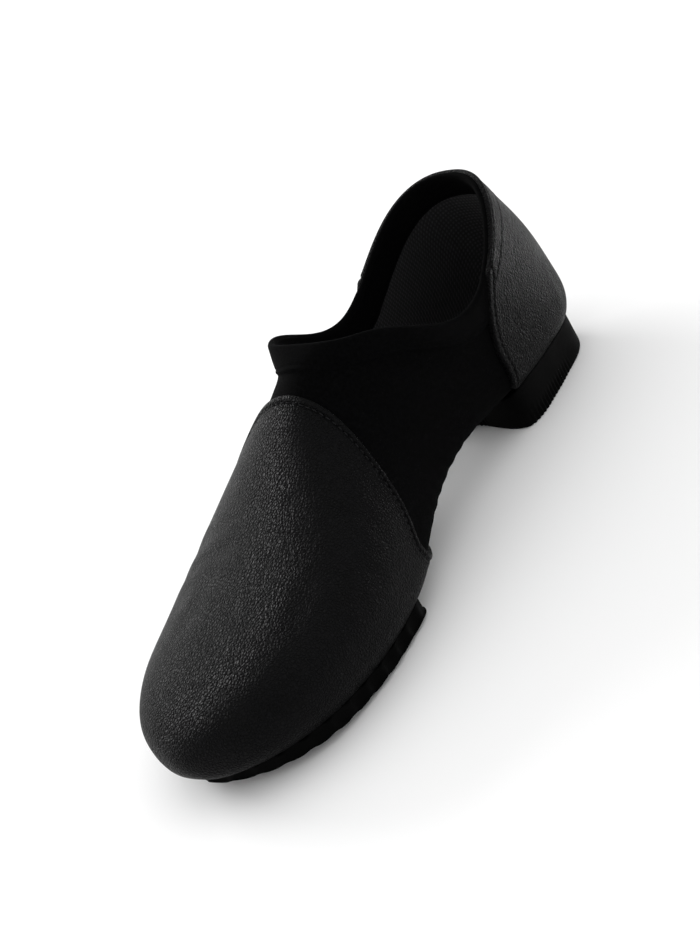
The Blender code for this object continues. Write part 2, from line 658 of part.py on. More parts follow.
# Each piece: the function that makes it, its colour and its roughness
PIECES = {
    "upper": (upper_mesh, (0.010, 0.010, 0.011), 0.90),
    "vamp": (vamp_mesh, (0.013, 0.013, 0.014), 0.42),
    "heel_counter": (counter_mesh, (0.013, 0.013, 0.014), 0.42),
    "outsole_forepart": (outsole_mesh, (0.016, 0.016, 0.016), 0.75),
    "heel_block": (heel_block_mesh, (0.016, 0.016, 0.016), 0.75),
    "insole": (insole_mesh, (0.030, 0.030, 0.032), 0.85),
}
SHARP_EDGE = math.radians(40)


def clear_scene():
    for thing in list(bpy.data.objects):
        bpy.data.objects.remove(thing, do_unlink=True)


def make_material(name, colour, roughness):
    material = bpy.data.materials.new(name)
    material.use_nodes = True
    shader = material.node_tree.nodes["Principled BSDF"]
    shader.inputs["Base Color"].default_value = (*colour, 1)
    shader.inputs["Roughness"].default_value = roughness
    shader.inputs["Metallic"].default_value = 0
    return material


def main():
    clear_scene()
    collection = bpy.data.collections.new("jazz_shoe")
    bpy.context.scene.collection.children.link(collection)
    built = {name: piece[0]() for name, piece in PIECES.items()}
    points = np.array([tuple(v.co) for mesh in built.values() for v in mesh.verts])
    low, high = points.min(axis=0), points.max(axis=0)
    centre = Vector(((low[0] + high[0]) / 2, (low[1] + high[1]) / 2, low[2]))
    for name, (_, colour, roughness) in PIECES.items():
        bmesh.ops.translate(built[name], vec=-centre, verts=built[name].verts)
        mesh = bpy.data.meshes.new(name)
        built[name].to_mesh(mesh)
        built[name].free()
        mesh.shade_smooth()
        mesh.set_sharp_from_angle(angle=SHARP_EDGE)
        piece = bpy.data.objects.new(name, mesh)
        piece.data.materials.append(make_material(name, colour, roughness))
        collection.objects.link(piece)


if __name__ == "__main__":
    main()
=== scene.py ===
"""The finished look of a slip-on jazz shoe for the right foot, on a pale floor.

Every soft piece is an offset of one surface, the last, as in the part's own solids. A
point of the last is given by its row, 0 at the tip of the toe to LAST_ROW at the rim of
the collar, and by its turn round that row's section, 0 at the bottom or the back, pi at
the top or the front, negative on the big-toe side.
"""

import functools
import math

import bmesh
import bpy
import numpy as np
from bpy.props import FloatProperty, FloatVectorProperty, PointerProperty
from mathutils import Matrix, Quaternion, Vector


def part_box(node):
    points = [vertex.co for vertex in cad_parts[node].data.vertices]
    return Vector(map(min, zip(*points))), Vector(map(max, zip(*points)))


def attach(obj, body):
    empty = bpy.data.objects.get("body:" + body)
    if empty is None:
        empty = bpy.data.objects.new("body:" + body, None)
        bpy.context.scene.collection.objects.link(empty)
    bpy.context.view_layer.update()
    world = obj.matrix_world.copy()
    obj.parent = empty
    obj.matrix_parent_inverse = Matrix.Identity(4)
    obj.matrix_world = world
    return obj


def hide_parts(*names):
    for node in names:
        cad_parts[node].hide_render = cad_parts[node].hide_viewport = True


bl_info = {
    "name": "Jazz shoe",
    "version": (1, 0, 0),
    "blender": (4, 5, 0),
    "location": "View3D > Sidebar > Jazz shoe",
    "description": "Builds the finished pieces of a slip-on jazz shoe round its solids",
    "category": "Object",
}

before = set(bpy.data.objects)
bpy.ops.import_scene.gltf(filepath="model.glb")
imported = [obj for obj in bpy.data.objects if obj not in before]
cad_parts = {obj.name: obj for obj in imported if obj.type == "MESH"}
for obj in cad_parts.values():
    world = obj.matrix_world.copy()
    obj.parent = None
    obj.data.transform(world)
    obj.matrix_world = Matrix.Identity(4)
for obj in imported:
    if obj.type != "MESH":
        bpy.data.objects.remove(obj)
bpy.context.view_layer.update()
MM = 0.001

# The last's outline seen from the side, from the collar's front over the toe to the
# collar's back: a share of its length, then the shares of the heights that lift it
PROFILE = np.array([
    # length, instep, spring, seat, back
    (0.550, 1.000, 0.00, 0.00, 0.000),
    (0.496, 0.905, 0.00, 0.00, 0.000),
    (0.420, 0.750, 0.00, 0.00, 0.000),
    (0.336, 0.595, 0.00, 0.00, 0.000),
    (0.252, 0.487, 0.00, 0.00, 0.000),
    (0.168, 0.425, 0.00, 0.00, 0.000),
    (0.092, 0.375, 0.00, 0.00, 0.000),
    (0.040, 0.312, 0.00, 0.00, 0.000),
    (0.010, 0.240, 0.00, 0.00, 0.000),
    (0.000, 0.071, 1.00, 0.00, 0.000),
    (0.009, 0.000, 0.97, 0.00, 0.000),
    (0.030, 0.000, 0.72, 0.00, 0.000),
    (0.065, 0.000, 0.53, 0.00, 0.000),
    (0.126, 0.000, 0.25, 0.00, 0.000),
    (0.189, 0.000, 0.06, 0.00, 0.000),
    (0.252, 0.000, 0.00, 0.00, 0.000),
    (0.336, 0.000, 0.00, 0.00, 0.000),
    (0.395, 0.000, 0.00, 0.06, 0.000),
    (0.450, 0.000, 0.00, 0.33, 0.000),
    (0.510, 0.000, 0.00, 0.78, 0.000),
    (0.580, 0.000, 0.00, 1.20, 0.000),
    (0.650, 0.000, 0.00, 1.36, 0.000),
    (0.720, 0.000, 0.00, 1.22, 0.000),
    (0.790, 0.000, 0.00, 1.04, 0.000),
    (0.860, 0.000, 0.00, 0.96, 0.000),
    (0.925, 0.000, 0.00, 0.90, 0.000),
    (0.970, 0.000, 0.00, 0.88, 0.016),
    (0.991, 0.000, 0.00, 0.88, 0.085),
    (0.999, 0.000, 0.00, 0.88, 0.225),
    (1.000, 0.000, 0.00, 0.90, 0.395),
    (0.992, 0.000, 0.00, 0.93, 0.570),
    (0.977, 0.000, 0.00, 0.96, 0.735),
    (0.962, 0.000, 0.00, 0.98, 0.885),
    (0.950, 0.000, 0.00, 1.00, 1.000),
])
TIP_ROW = int(np.argmin(PROFILE[:, 0]))

# Sections of the last: where each starts and ends on that outline, half widths as shares
# of the ball's or the heel's width, and the powers and centre of its curve
SECTIONS = np.array([
    # bottom, top, inner, outer, rear, swing, ridge, level, low, high, dip
    (0.0000, 0.000, 0.000, 0.000, 0.00, 1.00, 0.00, 0.45, 2.3, 2.3, 0.000),
    (0.0190, 0.041, 0.126, 0.122, 0.00, 1.00, 0.05, 0.45, 2.4, 2.3, 0.000),
    (0.0385, 0.084, 0.240, 0.238, 0.00, 0.98, 0.10, 0.44, 2.6, 2.4, 0.000),
    (0.0690, 0.150, 0.342, 0.334, 0.00, 0.88, 0.20, 0.42, 3.0, 2.4, 0.000),
    (0.1160, 0.247, 0.420, 0.416, 0.00, 0.71, 0.40, 0.40, 3.4, 2.4, 0.000),
    (0.1670, 0.351, 0.462, 0.460, 0.00, 0.48, 0.62, 0.38, 3.7, 2.3, 0.000),
    (0.2170, 0.456, 0.488, 0.486, 0.00, 0.22, 0.82, 0.36, 3.8, 2.2, 0.000),
    (0.2680, 0.559, 0.491, 0.491, 0.00, -0.05, 0.96, 0.34, 3.8, 2.1, 0.000),
    (0.3190, 0.654, 0.471, 0.471, 0.00, -0.30, 1.00, 0.33, 3.7, 2.05, 0.000),
    (0.3700, 0.733, 0.437, 0.437, 0.00, -0.47, 0.98, 0.32, 3.4, 2.0, 0.000),
    (0.4280, 0.791, 0.420, 0.420, 0.15, -0.53, 0.92, 0.31, 3.1, 2.0, 0.020),
    (0.4910, 0.835, 0.428, 0.428, 0.40, -0.48, 0.84, 0.30, 3.0, 2.05, 0.085),
    (0.5590, 0.869, 0.463, 0.463, 0.70, -0.36, 0.74, 0.30, 3.2, 2.1, 0.180),
    (0.6260, 0.892, 0.496, 0.496, 0.90, -0.25, 0.62, 0.32, 3.7, 2.15, 0.290),
    (0.6940, 0.911, 0.508, 0.508, 1.00, -0.17, 0.50, 0.34, 3.7, 2.2, 0.405),
    (0.7550, 0.927, 0.505, 0.505, 1.00, -0.11, 0.40, 0.37, 3.0, 2.3, 0.520),
    (0.8000, 0.941, 0.502, 0.502, 1.00, -0.08, 0.30, 0.40, 2.55, 2.4, 0.620),
    (0.8350, 0.952, 0.499, 0.499, 1.00, -0.05, 0.22, 0.43, 2.35, 2.5, 0.715),
    (0.8750, 0.9645, 0.497, 0.497, 1.00, -0.03, 0.15, 0.46, 2.25, 2.6, 0.800),
    (0.9170, 0.977, 0.496, 0.496, 1.00, -0.01, 0.09, 0.48, 2.25, 2.7, 0.880),
    (0.9580, 0.9885, 0.498, 0.498, 1.00, 0.00, 0.04, 0.49, 2.25, 2.8, 0.945),
    (1.0000, 1.000, 0.502, 0.502, 1.00, 0.00, 0.00, 0.50, 2.25, 2.9, 1.000),
])
LAST_ROW = len(SECTIONS) - 1
DIP_POWER = 1.4
DIP_EASE = 0.7

# The rear edge of the vamp: degrees round from the bottom, share of the last's length, and
# the rows between which it lies
VAMP_SEAM = np.array([
    (0, 0.464), (20, 0.468), (34, 0.472), (45, 0.463), (56, 0.434), (70, 0.416), (88, 0.409),
    (106, 0.423), (120, 0.440), (134, 0.460), (146, 0.473), (157, 0.479), (168, 0.481),
    (180, 0.482),
])
SEAM_REACH = (6, 14)

# The front edge of the heel counter: share of the back's height, share of the length. Then
# the rows where the counter's foot begins, and roughly the turn of its sides in degrees
COUNTER_EDGE = np.array([
    (-0.10, 0.752), (0.05, 0.748), (0.17, 0.746), (0.30, 0.750), (0.43, 0.760),
    (0.56, 0.779), (0.70, 0.809), (0.85, 0.850),
])
BREAST_ROW = 13.05
BREAST_ROW_AT_TOP = 13.6
COUNTER_SIDE = 51

# Creases: first row and turn in degrees, last row and turn, the bow between them in
# rows, depth and width in mm
VAMP_CREASES = np.array([
    (6.50, -156, 6.10, -106, -0.10, 0.30, 3.2),
    (7.10, -168, 6.65, -104, -0.12, 0.34, 3.6),
    (7.65, -174, 7.20, -116, -0.10, 0.22, 3.0),
    (6.85, 176, 6.40, 114, -0.12, 0.28, 3.4),
    (7.40, 168, 6.95, 106, -0.10, 0.32, 3.4),
    (8.30, -158, 7.75, -112, -0.06, 0.16, 2.6),
    (4.30, -138, 6.30, -146, 0.00, 0.30, 4.2),
    (4.10, 150, 6.00, 158, 0.00, 0.18, 4.0),
])
WAIST_CREASES = np.array([
    (9.75, -18, 9.60, -74, 0.05, 0.32, 1.3),
    (10.05, -12, 9.98, -82, 0.06, 0.38, 1.3),
    (10.38, -24, 10.30, -70, 0.04, 0.26, 1.1),
    (10.70, -14, 10.68, -86, 0.06, 0.40, 1.4),
    (11.05, -20, 11.10, -76, 0.03, 0.28, 1.2),
    (11.42, -12, 11.50, -84, -0.04, 0.36, 1.3),
    (11.85, -22, 11.98, -72, -0.04, 0.24, 1.2),
    (12.30, -16, 12.50, -66, -0.03, 0.20, 1.2),
    (9.95, 20, 9.80, 78, 0.05, 0.30, 1.3),
    (10.45, 14, 10.40, 84, 0.05, 0.34, 1.3),
    (11.00, 20, 11.02, 74, 0.03, 0.26, 1.2),
    (11.60, 16, 11.72, 80, -0.03, 0.28, 1.3),
])
COUNTER_CREASES = np.array([
    (15.2, -52, 17.6, -44, 0.10, 0.16, 2.6),
    (15.4, 50, 17.4, 43, 0.10, 0.14, 2.6),
])

# How far below the hem's width the wall is plain again
HEM_FOOT = 0.8 * MM

# Stitch grooves: mm from the leather's turned edge, and from the rim of the counter
EDGE_SEAM = 2.75
RIM_SEAMS = (2.35, 8.8)

# The finished leather: how far over the wall it begins, and its rounded edges
UNDER_LEATHER = 0.1 * MM
EDGE_ROUNDING = 0.75 * MM
CUT_ROUNDING = 0.7 * MM

# The pad under the forepart: the rows that its edge follows, its lugs, the length over
# which it is set in more at the toe, its rear edge, and its rounded lower edge
PAD_ROWS = (7.7, 7.0, 6.0, 5.0, 4.0, 3.1, 2.2, 1.4)
LUG_COUNT = 32
LUG_POINTS = 16
LUG_POWER = 1.6
LUG_FADE = 8 * MM
TOE_INSET_LENGTH = 30 * MM
PAD_REAR_BOW = 3.5 * MM
PAD_BOW_SHARE = 0.62
TREAD_FLAT = 0.5 * MM
PAD_ROUNDING = 0.55 * MM

# The heel block: shares of the last's length for the middle of its back's curve and for
# the ends of the heel's seat, how far the counter's foot has risen at its outline, its
# breast, and the part of its length and the share of its height that are notched
BLOCK_MIDDLE = 0.86
SEAT_ENDS = (0.79, 0.925)
BLOCK_RISE = 1.9 * MM
BLOCK_INSIDE = 1.5 * MM
BLOCK_CORNER = 5 * MM
BREAST_HOLLOW = 2.5 * MM
BLOCK_POINTS = 720
NOTCHED_LENGTH = 0.62
NOTCH_FADE = 8 * MM
NOTCH_TOP = 0.66
BLOCK_ROUNDING = 0.8 * MM

# The sock liner: degrees from its middle to its sides, and its rounded edge
INSOLE_TURN = 38
INSOLE_ROUNDING = 1.6 * MM

# The camera: degrees round from the big-toe side, degrees up, and degrees rolled
CAMERA_ANGLES = (-40, 28, -31)
CAMERA_TARGET = (0.002, 0.0, 0.034)
CAMERA_DISTANCE = 0.86
CAMERA_LENS = 100
LIGHT_TARGET = (0, 0, 0.03)


def length(name, description, default):
    """A length in metres."""
    return FloatProperty(name=name, description=description, default=default, unit="LENGTH",
                         precision=5)


def colour(name, description, default):
    return FloatVectorProperty(name=name, description=description, default=default,
                               subtype="COLOR", min=0, max=1)


class JazzShoeSizes(bpy.types.PropertyGroup):
    """The sizes of the last, of the walls on it and of the rubber pieces."""

    last_length: length("Last length", "Inside length of the shoe", 238 * MM)
    ball_width: length("Ball width", "Inside width at the ball", 82 * MM)
    heel_width: length("Heel width", "Inside width at the heel", 54 * MM)
    instep_height: length("Instep height", "Front of the collar above the bed", 71 * MM)
    back_height: length("Back height", "Back of the collar above the heel's bed", 61 * MM)
    collar_dip: length("Collar dip", "How far the collar drops at the sides", 22.5 * MM)
    toe_spring: length("Toe spring", "How far the toe lifts off the floor", 7 * MM)
    instep_ridge: length("Instep ridge", "How far the crest leans to the big toe", 5 * MM)
    toe_swing: length("Toe swing", "How far the toe's tip lies to the big toe", 6 * MM)
    wall: length("Wall", "Stretch fabric with its lining", 1.8 * MM)
    leather: length("Leather", "Thickness of the leather", 1.1 * MM)
    hem_step: length("Hem step", "Extra thickness of the collar's hem", 0.9 * MM)
    hem_width: length("Hem width", "Width of the collar's hem", 10 * MM)
    gap: length("Gap", "Left between the solids", 0.3 * MM)
    outsole: length("Pad", "Thickness of the forepart pad", 3 * MM)
    heel_height: length("Heel height", "Height of the heel block", 12 * MM)
    insole: length("Insole", "Thickness of the sock liner", 2 * MM)
    ridge: length("Edge ridge", "How far turned leather edges stand up", 0.50 * MM)
    groove: length("Stitch groove", "How deep stitches pull the leather in", 0.38 * MM)
    stitch_pitch: length("Stitch pitch", "Length of one stitch with its gap", 2.6 * MM)
    thread: length("Thread", "Diameter of the sewing thread", 0.42 * MM)
    pad_end: length("Pad end", "From the last's tip to the pad's rear edge", 95 * MM)
    pad_inset: length("Pad inset", "Pad's edge inside the forepart's outline", 4.5 * MM)
    pad_toe_inset: length("Toe inset", "As much more at the toe", 3.6 * MM)
    lug_reach: length("Lug reach", "How far the lugs stand out of the pad", 1.1 * MM)
    lug_depth: length("Lug depth", "How deep the grooves cut its edge", 1.2 * MM)
    block_length: length("Heel length", "Length of the heel block", 58 * MM)
    block_setback: length("Heel setback", "Its back edge inside the counter's", 3.8 * MM)
    notch_pitch: length("Notch pitch", "Pitch of the heel's lower edge", 2.0 * MM)
    notch_depth: length("Notch depth", "Depth of the heel's lower edge", 0.45 * MM)


class JazzShoeFinish(bpy.types.PropertyGroup):
    """The colours of the shoe and of the stage."""

    leather: colour("Leather", "Vamp and heel counter", (0.0022, 0.0022, 0.0024))
    fabric: colour("Stretch fabric", "Body and hem", (0.0009, 0.0009, 0.0010))
    lining: colour("Lining", "Inside of the upper", (0.016, 0.016, 0.017))
    sock: colour("Sock liner", "Face of the insole", (0.022, 0.022, 0.024))
    rubber: colour("Rubber", "Pad and heel block", (0.0012, 0.0012, 0.0012))
    thread: colour("Thread", "Stitches", (0.007, 0.007, 0.0075))
    floor: colour("Floor", "Floor under the shoe", (0.94, 0.94, 0.94))


def sizes():
    return bpy.context.scene.jazz_shoe_sizes


def finish():
    return bpy.context.scene.jazz_shoe_finish


def smooth(knots, values, at):
    """The natural cubic spline through values at knots, read at the places in at."""
    knots, values, at = (np.asarray(a, float) for a in (knots, values, at))
    steps = np.diff(knots)
    wide = steps.reshape((-1,) + (1,) * (values.ndim - 1))
    matrix = np.eye(len(knots))
    for i in range(1, len(knots) - 1):
        matrix[i, i - 1:i + 2] = steps[i - 1], 2 * (steps[i - 1] + steps[i]), steps[i]
    right = np.zeros_like(values)
    right[1:-1] = 6 * np.diff(np.diff(values, axis=0) / wide, axis=0)
    bend = np.linalg.solve(matrix, right)
    i = np.clip(np.searchsorted(knots, at, side="right") - 1, 0, len(knots) - 2)
    step = steps[i]
    before = (knots[i + 1] - at) / step
    if values.ndim == 2:
        step, before = step[..., None], before[..., None]
    after = 1 - before
    curve = (before ** 3 - before) * bend[i] + (after ** 3 - after) * bend[i + 1]
    return before * values[i] + after * values[i + 1] + curve * step ** 2 / 6


def ease(value):
    """0 below 0, 1 above 1, and 3t^2 - 2t^3 between them."""
    value = np.clip(value, 0, 1)
    return value * value * (3 - 2 * value)


def bump_at(distance, centre, half_width):
    """A bell curve of height 1: the exponential of minus the squared offset."""
    return np.exp(-((distance - centre) / half_width) ** 2)


def round_edge(distance, radius):
    """A quarter circle that rises from 0 at the edge to 1 at radius."""
    return np.sqrt(1 - (1 - np.clip(distance / radius, 0, 1)) ** 2)


class Last:
    """The surface that every soft piece is an offset of.

    A section runs from a point of the bottom line to one of the top line, in the plane of
    the shoe's length. A polar superellipse gives the share of that run and the half width
    at each turn, its power and centre eased from the low half to the high half, and the
    dip bends the section out of its plane by a power of a sine of the same share.
    """

    def __init__(self):
        s = sizes()
        self.s = s
        self.stack = s.wall + s.gap + s.leather
        self.bed = s.outsole + s.gap + self.stack
        self.heel_bed = s.heel_height + s.gap + self.stack
        lifts = np.array([s.instep_height, s.toe_spring, self.heel_bed - self.bed,
                          s.back_height])
        heights = self.bed + PROFILE[:, 1:] @ lifts
        self.profile = np.stack([PROFILE[:, 0] * s.last_length, heights], axis=1)
        steps = np.hypot(*np.diff(self.profile, axis=0).T)
        self.run = np.concatenate([[0], np.cumsum(steps)])
        self.tip = self.run[TIP_ROW]
        self.origin = np.zeros(3)
        low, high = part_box("vamp")
        rows, turns = np.meshgrid(np.linspace(4, 10, 61), np.radians(np.linspace(60, 120, 41)))
        inner = self.out(rows, -turns, self.stack)[..., 1].min()
        outer = self.out(rows, turns, self.stack)[..., 1].max()
        self.origin = np.array([-self.stack - low[0],
                                (inner + outer - low[1] - high[1]) / 2, 0])

    def at(self, row, turn):
        """The last's points in the part's own frame."""
        s = self.s
        row, turn = np.broadcast_arrays(np.asarray(row, float), np.asarray(turn, float))
        table = np.moveaxis(smooth(np.arange(len(SECTIONS)), SECTIONS, row), -1, 0)
        bottom, top, inner, outer, rear, swing, ridge, level, low, high, dip = table
        foot = smooth(self.run, self.profile, self.tip + bottom * (self.run[-1] - self.tip))
        head = smooth(self.run, self.profile, self.tip - top * self.tip)
        run = head - foot
        reach = np.maximum(np.hypot(run[..., 0], run[..., 1]), 1e-9)
        across = np.stack([-run[..., 1], run[..., 0]], axis=-1) / reach[..., None]
        high_share = np.sin(turn / 2) ** 2
        power = low + (high - low) * high_share
        cos, sin = np.cos(turn), np.sin(turn)
        radius = (np.abs(cos) ** power + np.abs(sin) ** power) ** (-1 / power)
        share = level - (level + (1 - 2 * level) * high_share) * cos * radius
        share = np.clip(share, 0, 1)
        width = np.where(sin < 0, inner, outer)
        width = width * (s.ball_width + (s.heel_width - s.ball_width) * rear)
        sag = s.collar_dip * dip * np.sin(math.pi * share) ** (DIP_POWER + DIP_EASE * share)
        flat = foot + run * share[..., None] + across * sag[..., None]
        y = width * sin * radius - s.toe_swing * swing - s.instep_ridge * ridge * share ** 2
        return np.stack([flat[..., 0], y, flat[..., 1]], axis=-1) - self.origin

    def normals(self, row, turn):
        """Outward unit normals, from differences along and round the last."""
        row, turn = np.broadcast_arrays(np.asarray(row, float), np.asarray(turn, float))
        row = np.clip(row, 0.03, LAST_ROW)
        ahead = self.at(np.minimum(row + 0.02, LAST_ROW), turn) - self.at(row - 0.02, turn)
        round_ = self.at(row, turn + 0.01) - self.at(row, turn - 0.01)
        normal = np.cross(round_, ahead)
        return normal / np.linalg.norm(normal, axis=-1, keepdims=True)

    def out(self, row, turn, distance):
        """The last's surface moved outwards by distance, a number or an array."""
        shape = np.broadcast(row, turn).shape
        distance = np.broadcast_to(np.asarray(distance, float), shape)
        return self.at(row, turn) + self.normals(row, turn) * distance[..., None]

    def rows_from(self, start, end, turn, distance):
        """At each turn, the rows that lie at these distances along the surface from start
        towards end, and the length of the whole way."""
        steps = np.linspace(0, 1, 160)
        rows = start + (end - start) * steps[:, None]
        gone = np.linalg.norm(np.diff(self.at(rows, turn), axis=0), axis=2)
        gone = np.concatenate([np.zeros((1, len(turn))), np.cumsum(gone, axis=0)])
        distance = np.asarray(distance, float)
        if distance.ndim == 1:
            distance = np.repeat(distance[:, None], len(turn), axis=1)
        found = [np.interp(distance[:, k], gone[:, k], rows[:, k]) for k in range(len(turn))]
        return np.stack(found, axis=1), gone[-1]

    def seam_rows(self, turn):
        """The rows of the vamp's rear edge: those that reach its share of the length."""
        folded = np.abs((turn + math.pi) % (2 * math.pi) - math.pi)
        share = smooth(np.radians(VAMP_SEAM[:, 0]), VAMP_SEAM[:, 1], folded)
        edge = share * self.s.last_length
        rows = np.linspace(*SEAM_REACH, 120)
        reached = self.at(rows[:, None], turn)[..., 0] + self.origin[0]
        return np.array([np.interp(edge[k], reached[:, k], rows) for k in range(len(turn))])

    def counter_turns(self, row):
        """The turn at which each row meets the counter's front edge."""
        turn = np.radians(np.linspace(40, 120, 240))
        points = self.at(np.asarray(row)[:, None], turn)
        height = (points[..., 2] - self.heel_bed) / self.s.back_height
        edge = smooth(COUNTER_EDGE[:, 0], COUNTER_EDGE[:, 1], np.clip(height, -0.1, 0.85))
        past = edge * self.s.last_length - points[..., 0] - self.origin[0]
        return np.array([np.interp(0, line, turn) for line in past])

    def under(self, x, y, distance, row, turn):
        """The lower side's height over (x, y): Newton's method on the row and the turn,
        from the rough ones given."""
        row, turn = np.broadcast_arrays(row, turn)
        step = 1e-3
        for _ in range(14):
            here = self.out(row, turn, distance)
            by_row = (self.out(row + step, turn, distance) - here) / step
            by_turn = (self.out(row, turn + step, distance) - here) / step
            miss_x, miss_y = x - here[..., 0], y - here[..., 1]
            area = by_row[..., 0] * by_turn[..., 1] - by_row[..., 1] * by_turn[..., 0]
            area = np.where(np.abs(area) < 1e-9, 1e-9, area)
            d_row = (miss_x * by_turn[..., 1] - miss_y * by_turn[..., 0]) / area
            d_turn = (miss_y * by_row[..., 0] - miss_x * by_row[..., 1]) / area
            row = np.clip(row + np.clip(d_row, -0.6, 0.6), 0.1, 19)
            turn = np.clip(turn + np.clip(d_turn, -0.2, 0.2), -1.4, 1.4)
        return self.out(row, turn, distance)[..., 2]

    def floor_row(self, x):
        """The row whose bottom point lies at x."""
        rows = np.linspace(0, 16, 200)
        return np.interp(x, self.at(rows, 0.0)[:, 0], rows)


def distance_to_line(points, line):
    """The distance from each point to the nearest point of a dense line."""
    flat = points.reshape(-1, 3)
    parts = [
        np.sqrt(((part[:, None] - line[None]) ** 2).sum(axis=2).min(axis=1))
        for part in np.array_split(flat, max(1, len(flat) * len(line) // 2000000))
    ]
    return np.concatenate(parts).reshape(points.shape[:-1])


def creases(last, points, table, distance):
    """How far the surface moves out at these points: for each crease a trough, the bell
    curve of the distance from its line, between two low ridges, faded at its ends."""
    moved = np.zeros(points.shape[:-1])
    share = np.linspace(0, 1, 50)
    for row0, turn0, row1, turn1, bow, depth, width in table:
        rows = row0 + (row1 - row0) * share + bow * 4 * share * (1 - share)
        line = last.out(rows, np.radians(turn0 + (turn1 - turn0) * share), distance)
        width = width * MM
        low, high = line.min(axis=0) - 4 * width, line.max(axis=0) + 4 * width
        near = ((points > low) & (points < high)).all(axis=-1)
        if not near.any():
            continue
        gaps = np.sqrt(((points[near][:, None] - line[None]) ** 2).sum(axis=2))
        nearest = gaps.argmin(axis=1)
        gap = gaps.min(axis=1)
        fade = np.sin(math.pi * np.clip(share[nearest], 0.0, 1.0)) ** 0.7
        trough = -bump_at(gap, 0, width) + 0.42 * bump_at(gap, 1.9 * width, 0.9 * width)
        moved[near] += depth * MM * fade * trough
    return moved


def grid_uv(points):
    """Lengths in metres across and along the grid, measured on the surface."""
    along = np.linalg.norm(np.diff(points, axis=0), axis=2)
    across = np.linalg.norm(np.diff(points, axis=1), axis=2)
    along = np.concatenate([np.zeros((1, points.shape[1])), np.cumsum(along, axis=0)])
    across = np.concatenate([np.zeros((points.shape[0], 1)), np.cumsum(across, axis=1)], axis=1)
    across = across - across[:, points.shape[1] // 2][:, None]
    return np.stack([across, along], axis=-1)


def add_piece(name, grids, materials, nodes):
    """A mesh of these grids of points, each with its material's number. Points that
    coincide are merged, which closes seams, edges and poles, and faces are turned out."""
    points, quads, uvs, slots = [], [], [], []
    start = 0
    for grid, number in grids:
        rows, columns = grid.shape[:2]
        i, j = np.meshgrid(np.arange(rows - 1), np.arange(columns - 1), indexing="ij")
        first = (start + i * columns + j).ravel()
        quads.append(np.stack([first, first + 1, first + columns + 1, first + columns], axis=1))
        points.append(grid.reshape(-1, 3))
        uvs.append(grid_uv(grid).reshape(-1, 2))
        numbers = np.broadcast_to(np.asarray(number), (rows - 1,))
        slots.append(np.repeat(numbers, columns - 1))
        start += rows * columns
    points, quads = np.concatenate(points), np.concatenate(quads)
    mesh = bpy.data.meshes.new(name)
    mesh.vertices.add(len(points))
    mesh.vertices.foreach_set("co", points.astype(np.float32).ravel())
    mesh.loops.add(quads.size)
    mesh.loops.foreach_set("vertex_index", quads.astype(np.int32).ravel())
    mesh.polygons.add(len(quads))
    mesh.polygons.foreach_set("loop_start", np.arange(0, quads.size, 4, dtype=np.int32))
    mesh.polygons.foreach_set("material_index", np.concatenate(slots).astype(np.int32))
    mesh.update(calc_edges=True)
    layer = mesh.uv_layers.new(name="surface")
    layer.uv.foreach_set("vector", np.concatenate(uvs)[quads.ravel()].astype(np.float32).ravel())
    built = bmesh.new()
    built.from_mesh(mesh)
    bmesh.ops.remove_doubles(built, verts=built.verts, dist=2e-7)
    bmesh.ops.dissolve_degenerate(built, dist=1e-8, edges=built.edges)
    bmesh.ops.recalc_face_normals(built, faces=built.faces)
    built.to_mesh(mesh)
    built.free()
    mesh.shade_smooth()
    piece = bpy.data.objects.new(name, mesh)
    bpy.context.scene.collection.objects.link(piece)
    for material in materials:
        mesh.materials.append(material)
    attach(piece, "root")
    if nodes:
        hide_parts(*nodes)
    return piece


def stitches(line, normals, pitch, thread, rise=0.10 * MM):
    """Thread along a line: each stitch is a bar with pointed ends whose middle follows a
    parabola up out of the surface. Gives one grid of points a stitch."""
    gone = np.concatenate([[0], np.cumsum(np.linalg.norm(np.diff(line, axis=0), axis=1))])
    count = max(2, int(gone[-1] / pitch))
    middle = (np.arange(count) + 0.5) * gone[-1] / count

    def read(values, at):
        return np.stack([np.interp(at, gone, values[:, k]) for k in range(3)], axis=1)

    centre, up = read(line, middle), read(normals, middle)
    ahead = read(line, middle + 0.3 * pitch) - read(line, middle - 0.3 * pitch)
    ahead /= np.linalg.norm(ahead, axis=1, keepdims=True)
    up -= ahead * (up * ahead).sum(axis=1, keepdims=True)
    up /= np.linalg.norm(up, axis=1, keepdims=True)
    side = np.cross(up, ahead)
    share = np.array([-1.0, -0.86, -0.45, 0.45, 0.86, 1.0])
    thick = np.array([0.0, 0.75, 1.0, 1.0, 0.75, 0.0]) * thread / 2
    turn = np.linspace(0, 2 * math.pi, 7)
    along = 0.40 * pitch * share[:, None] + 0 * turn
    height = thick[:, None] * np.sin(turn) + (rise - (rise + thread) * share ** 4)[:, None]
    width = thick[:, None] * np.cos(turn)
    bars = (centre[:, None, None] + along[None, ..., None] * ahead[:, None, None]
            + height[None, ..., None] * up[:, None, None]
            + width[None, ..., None] * side[:, None, None])
    return list(bars)


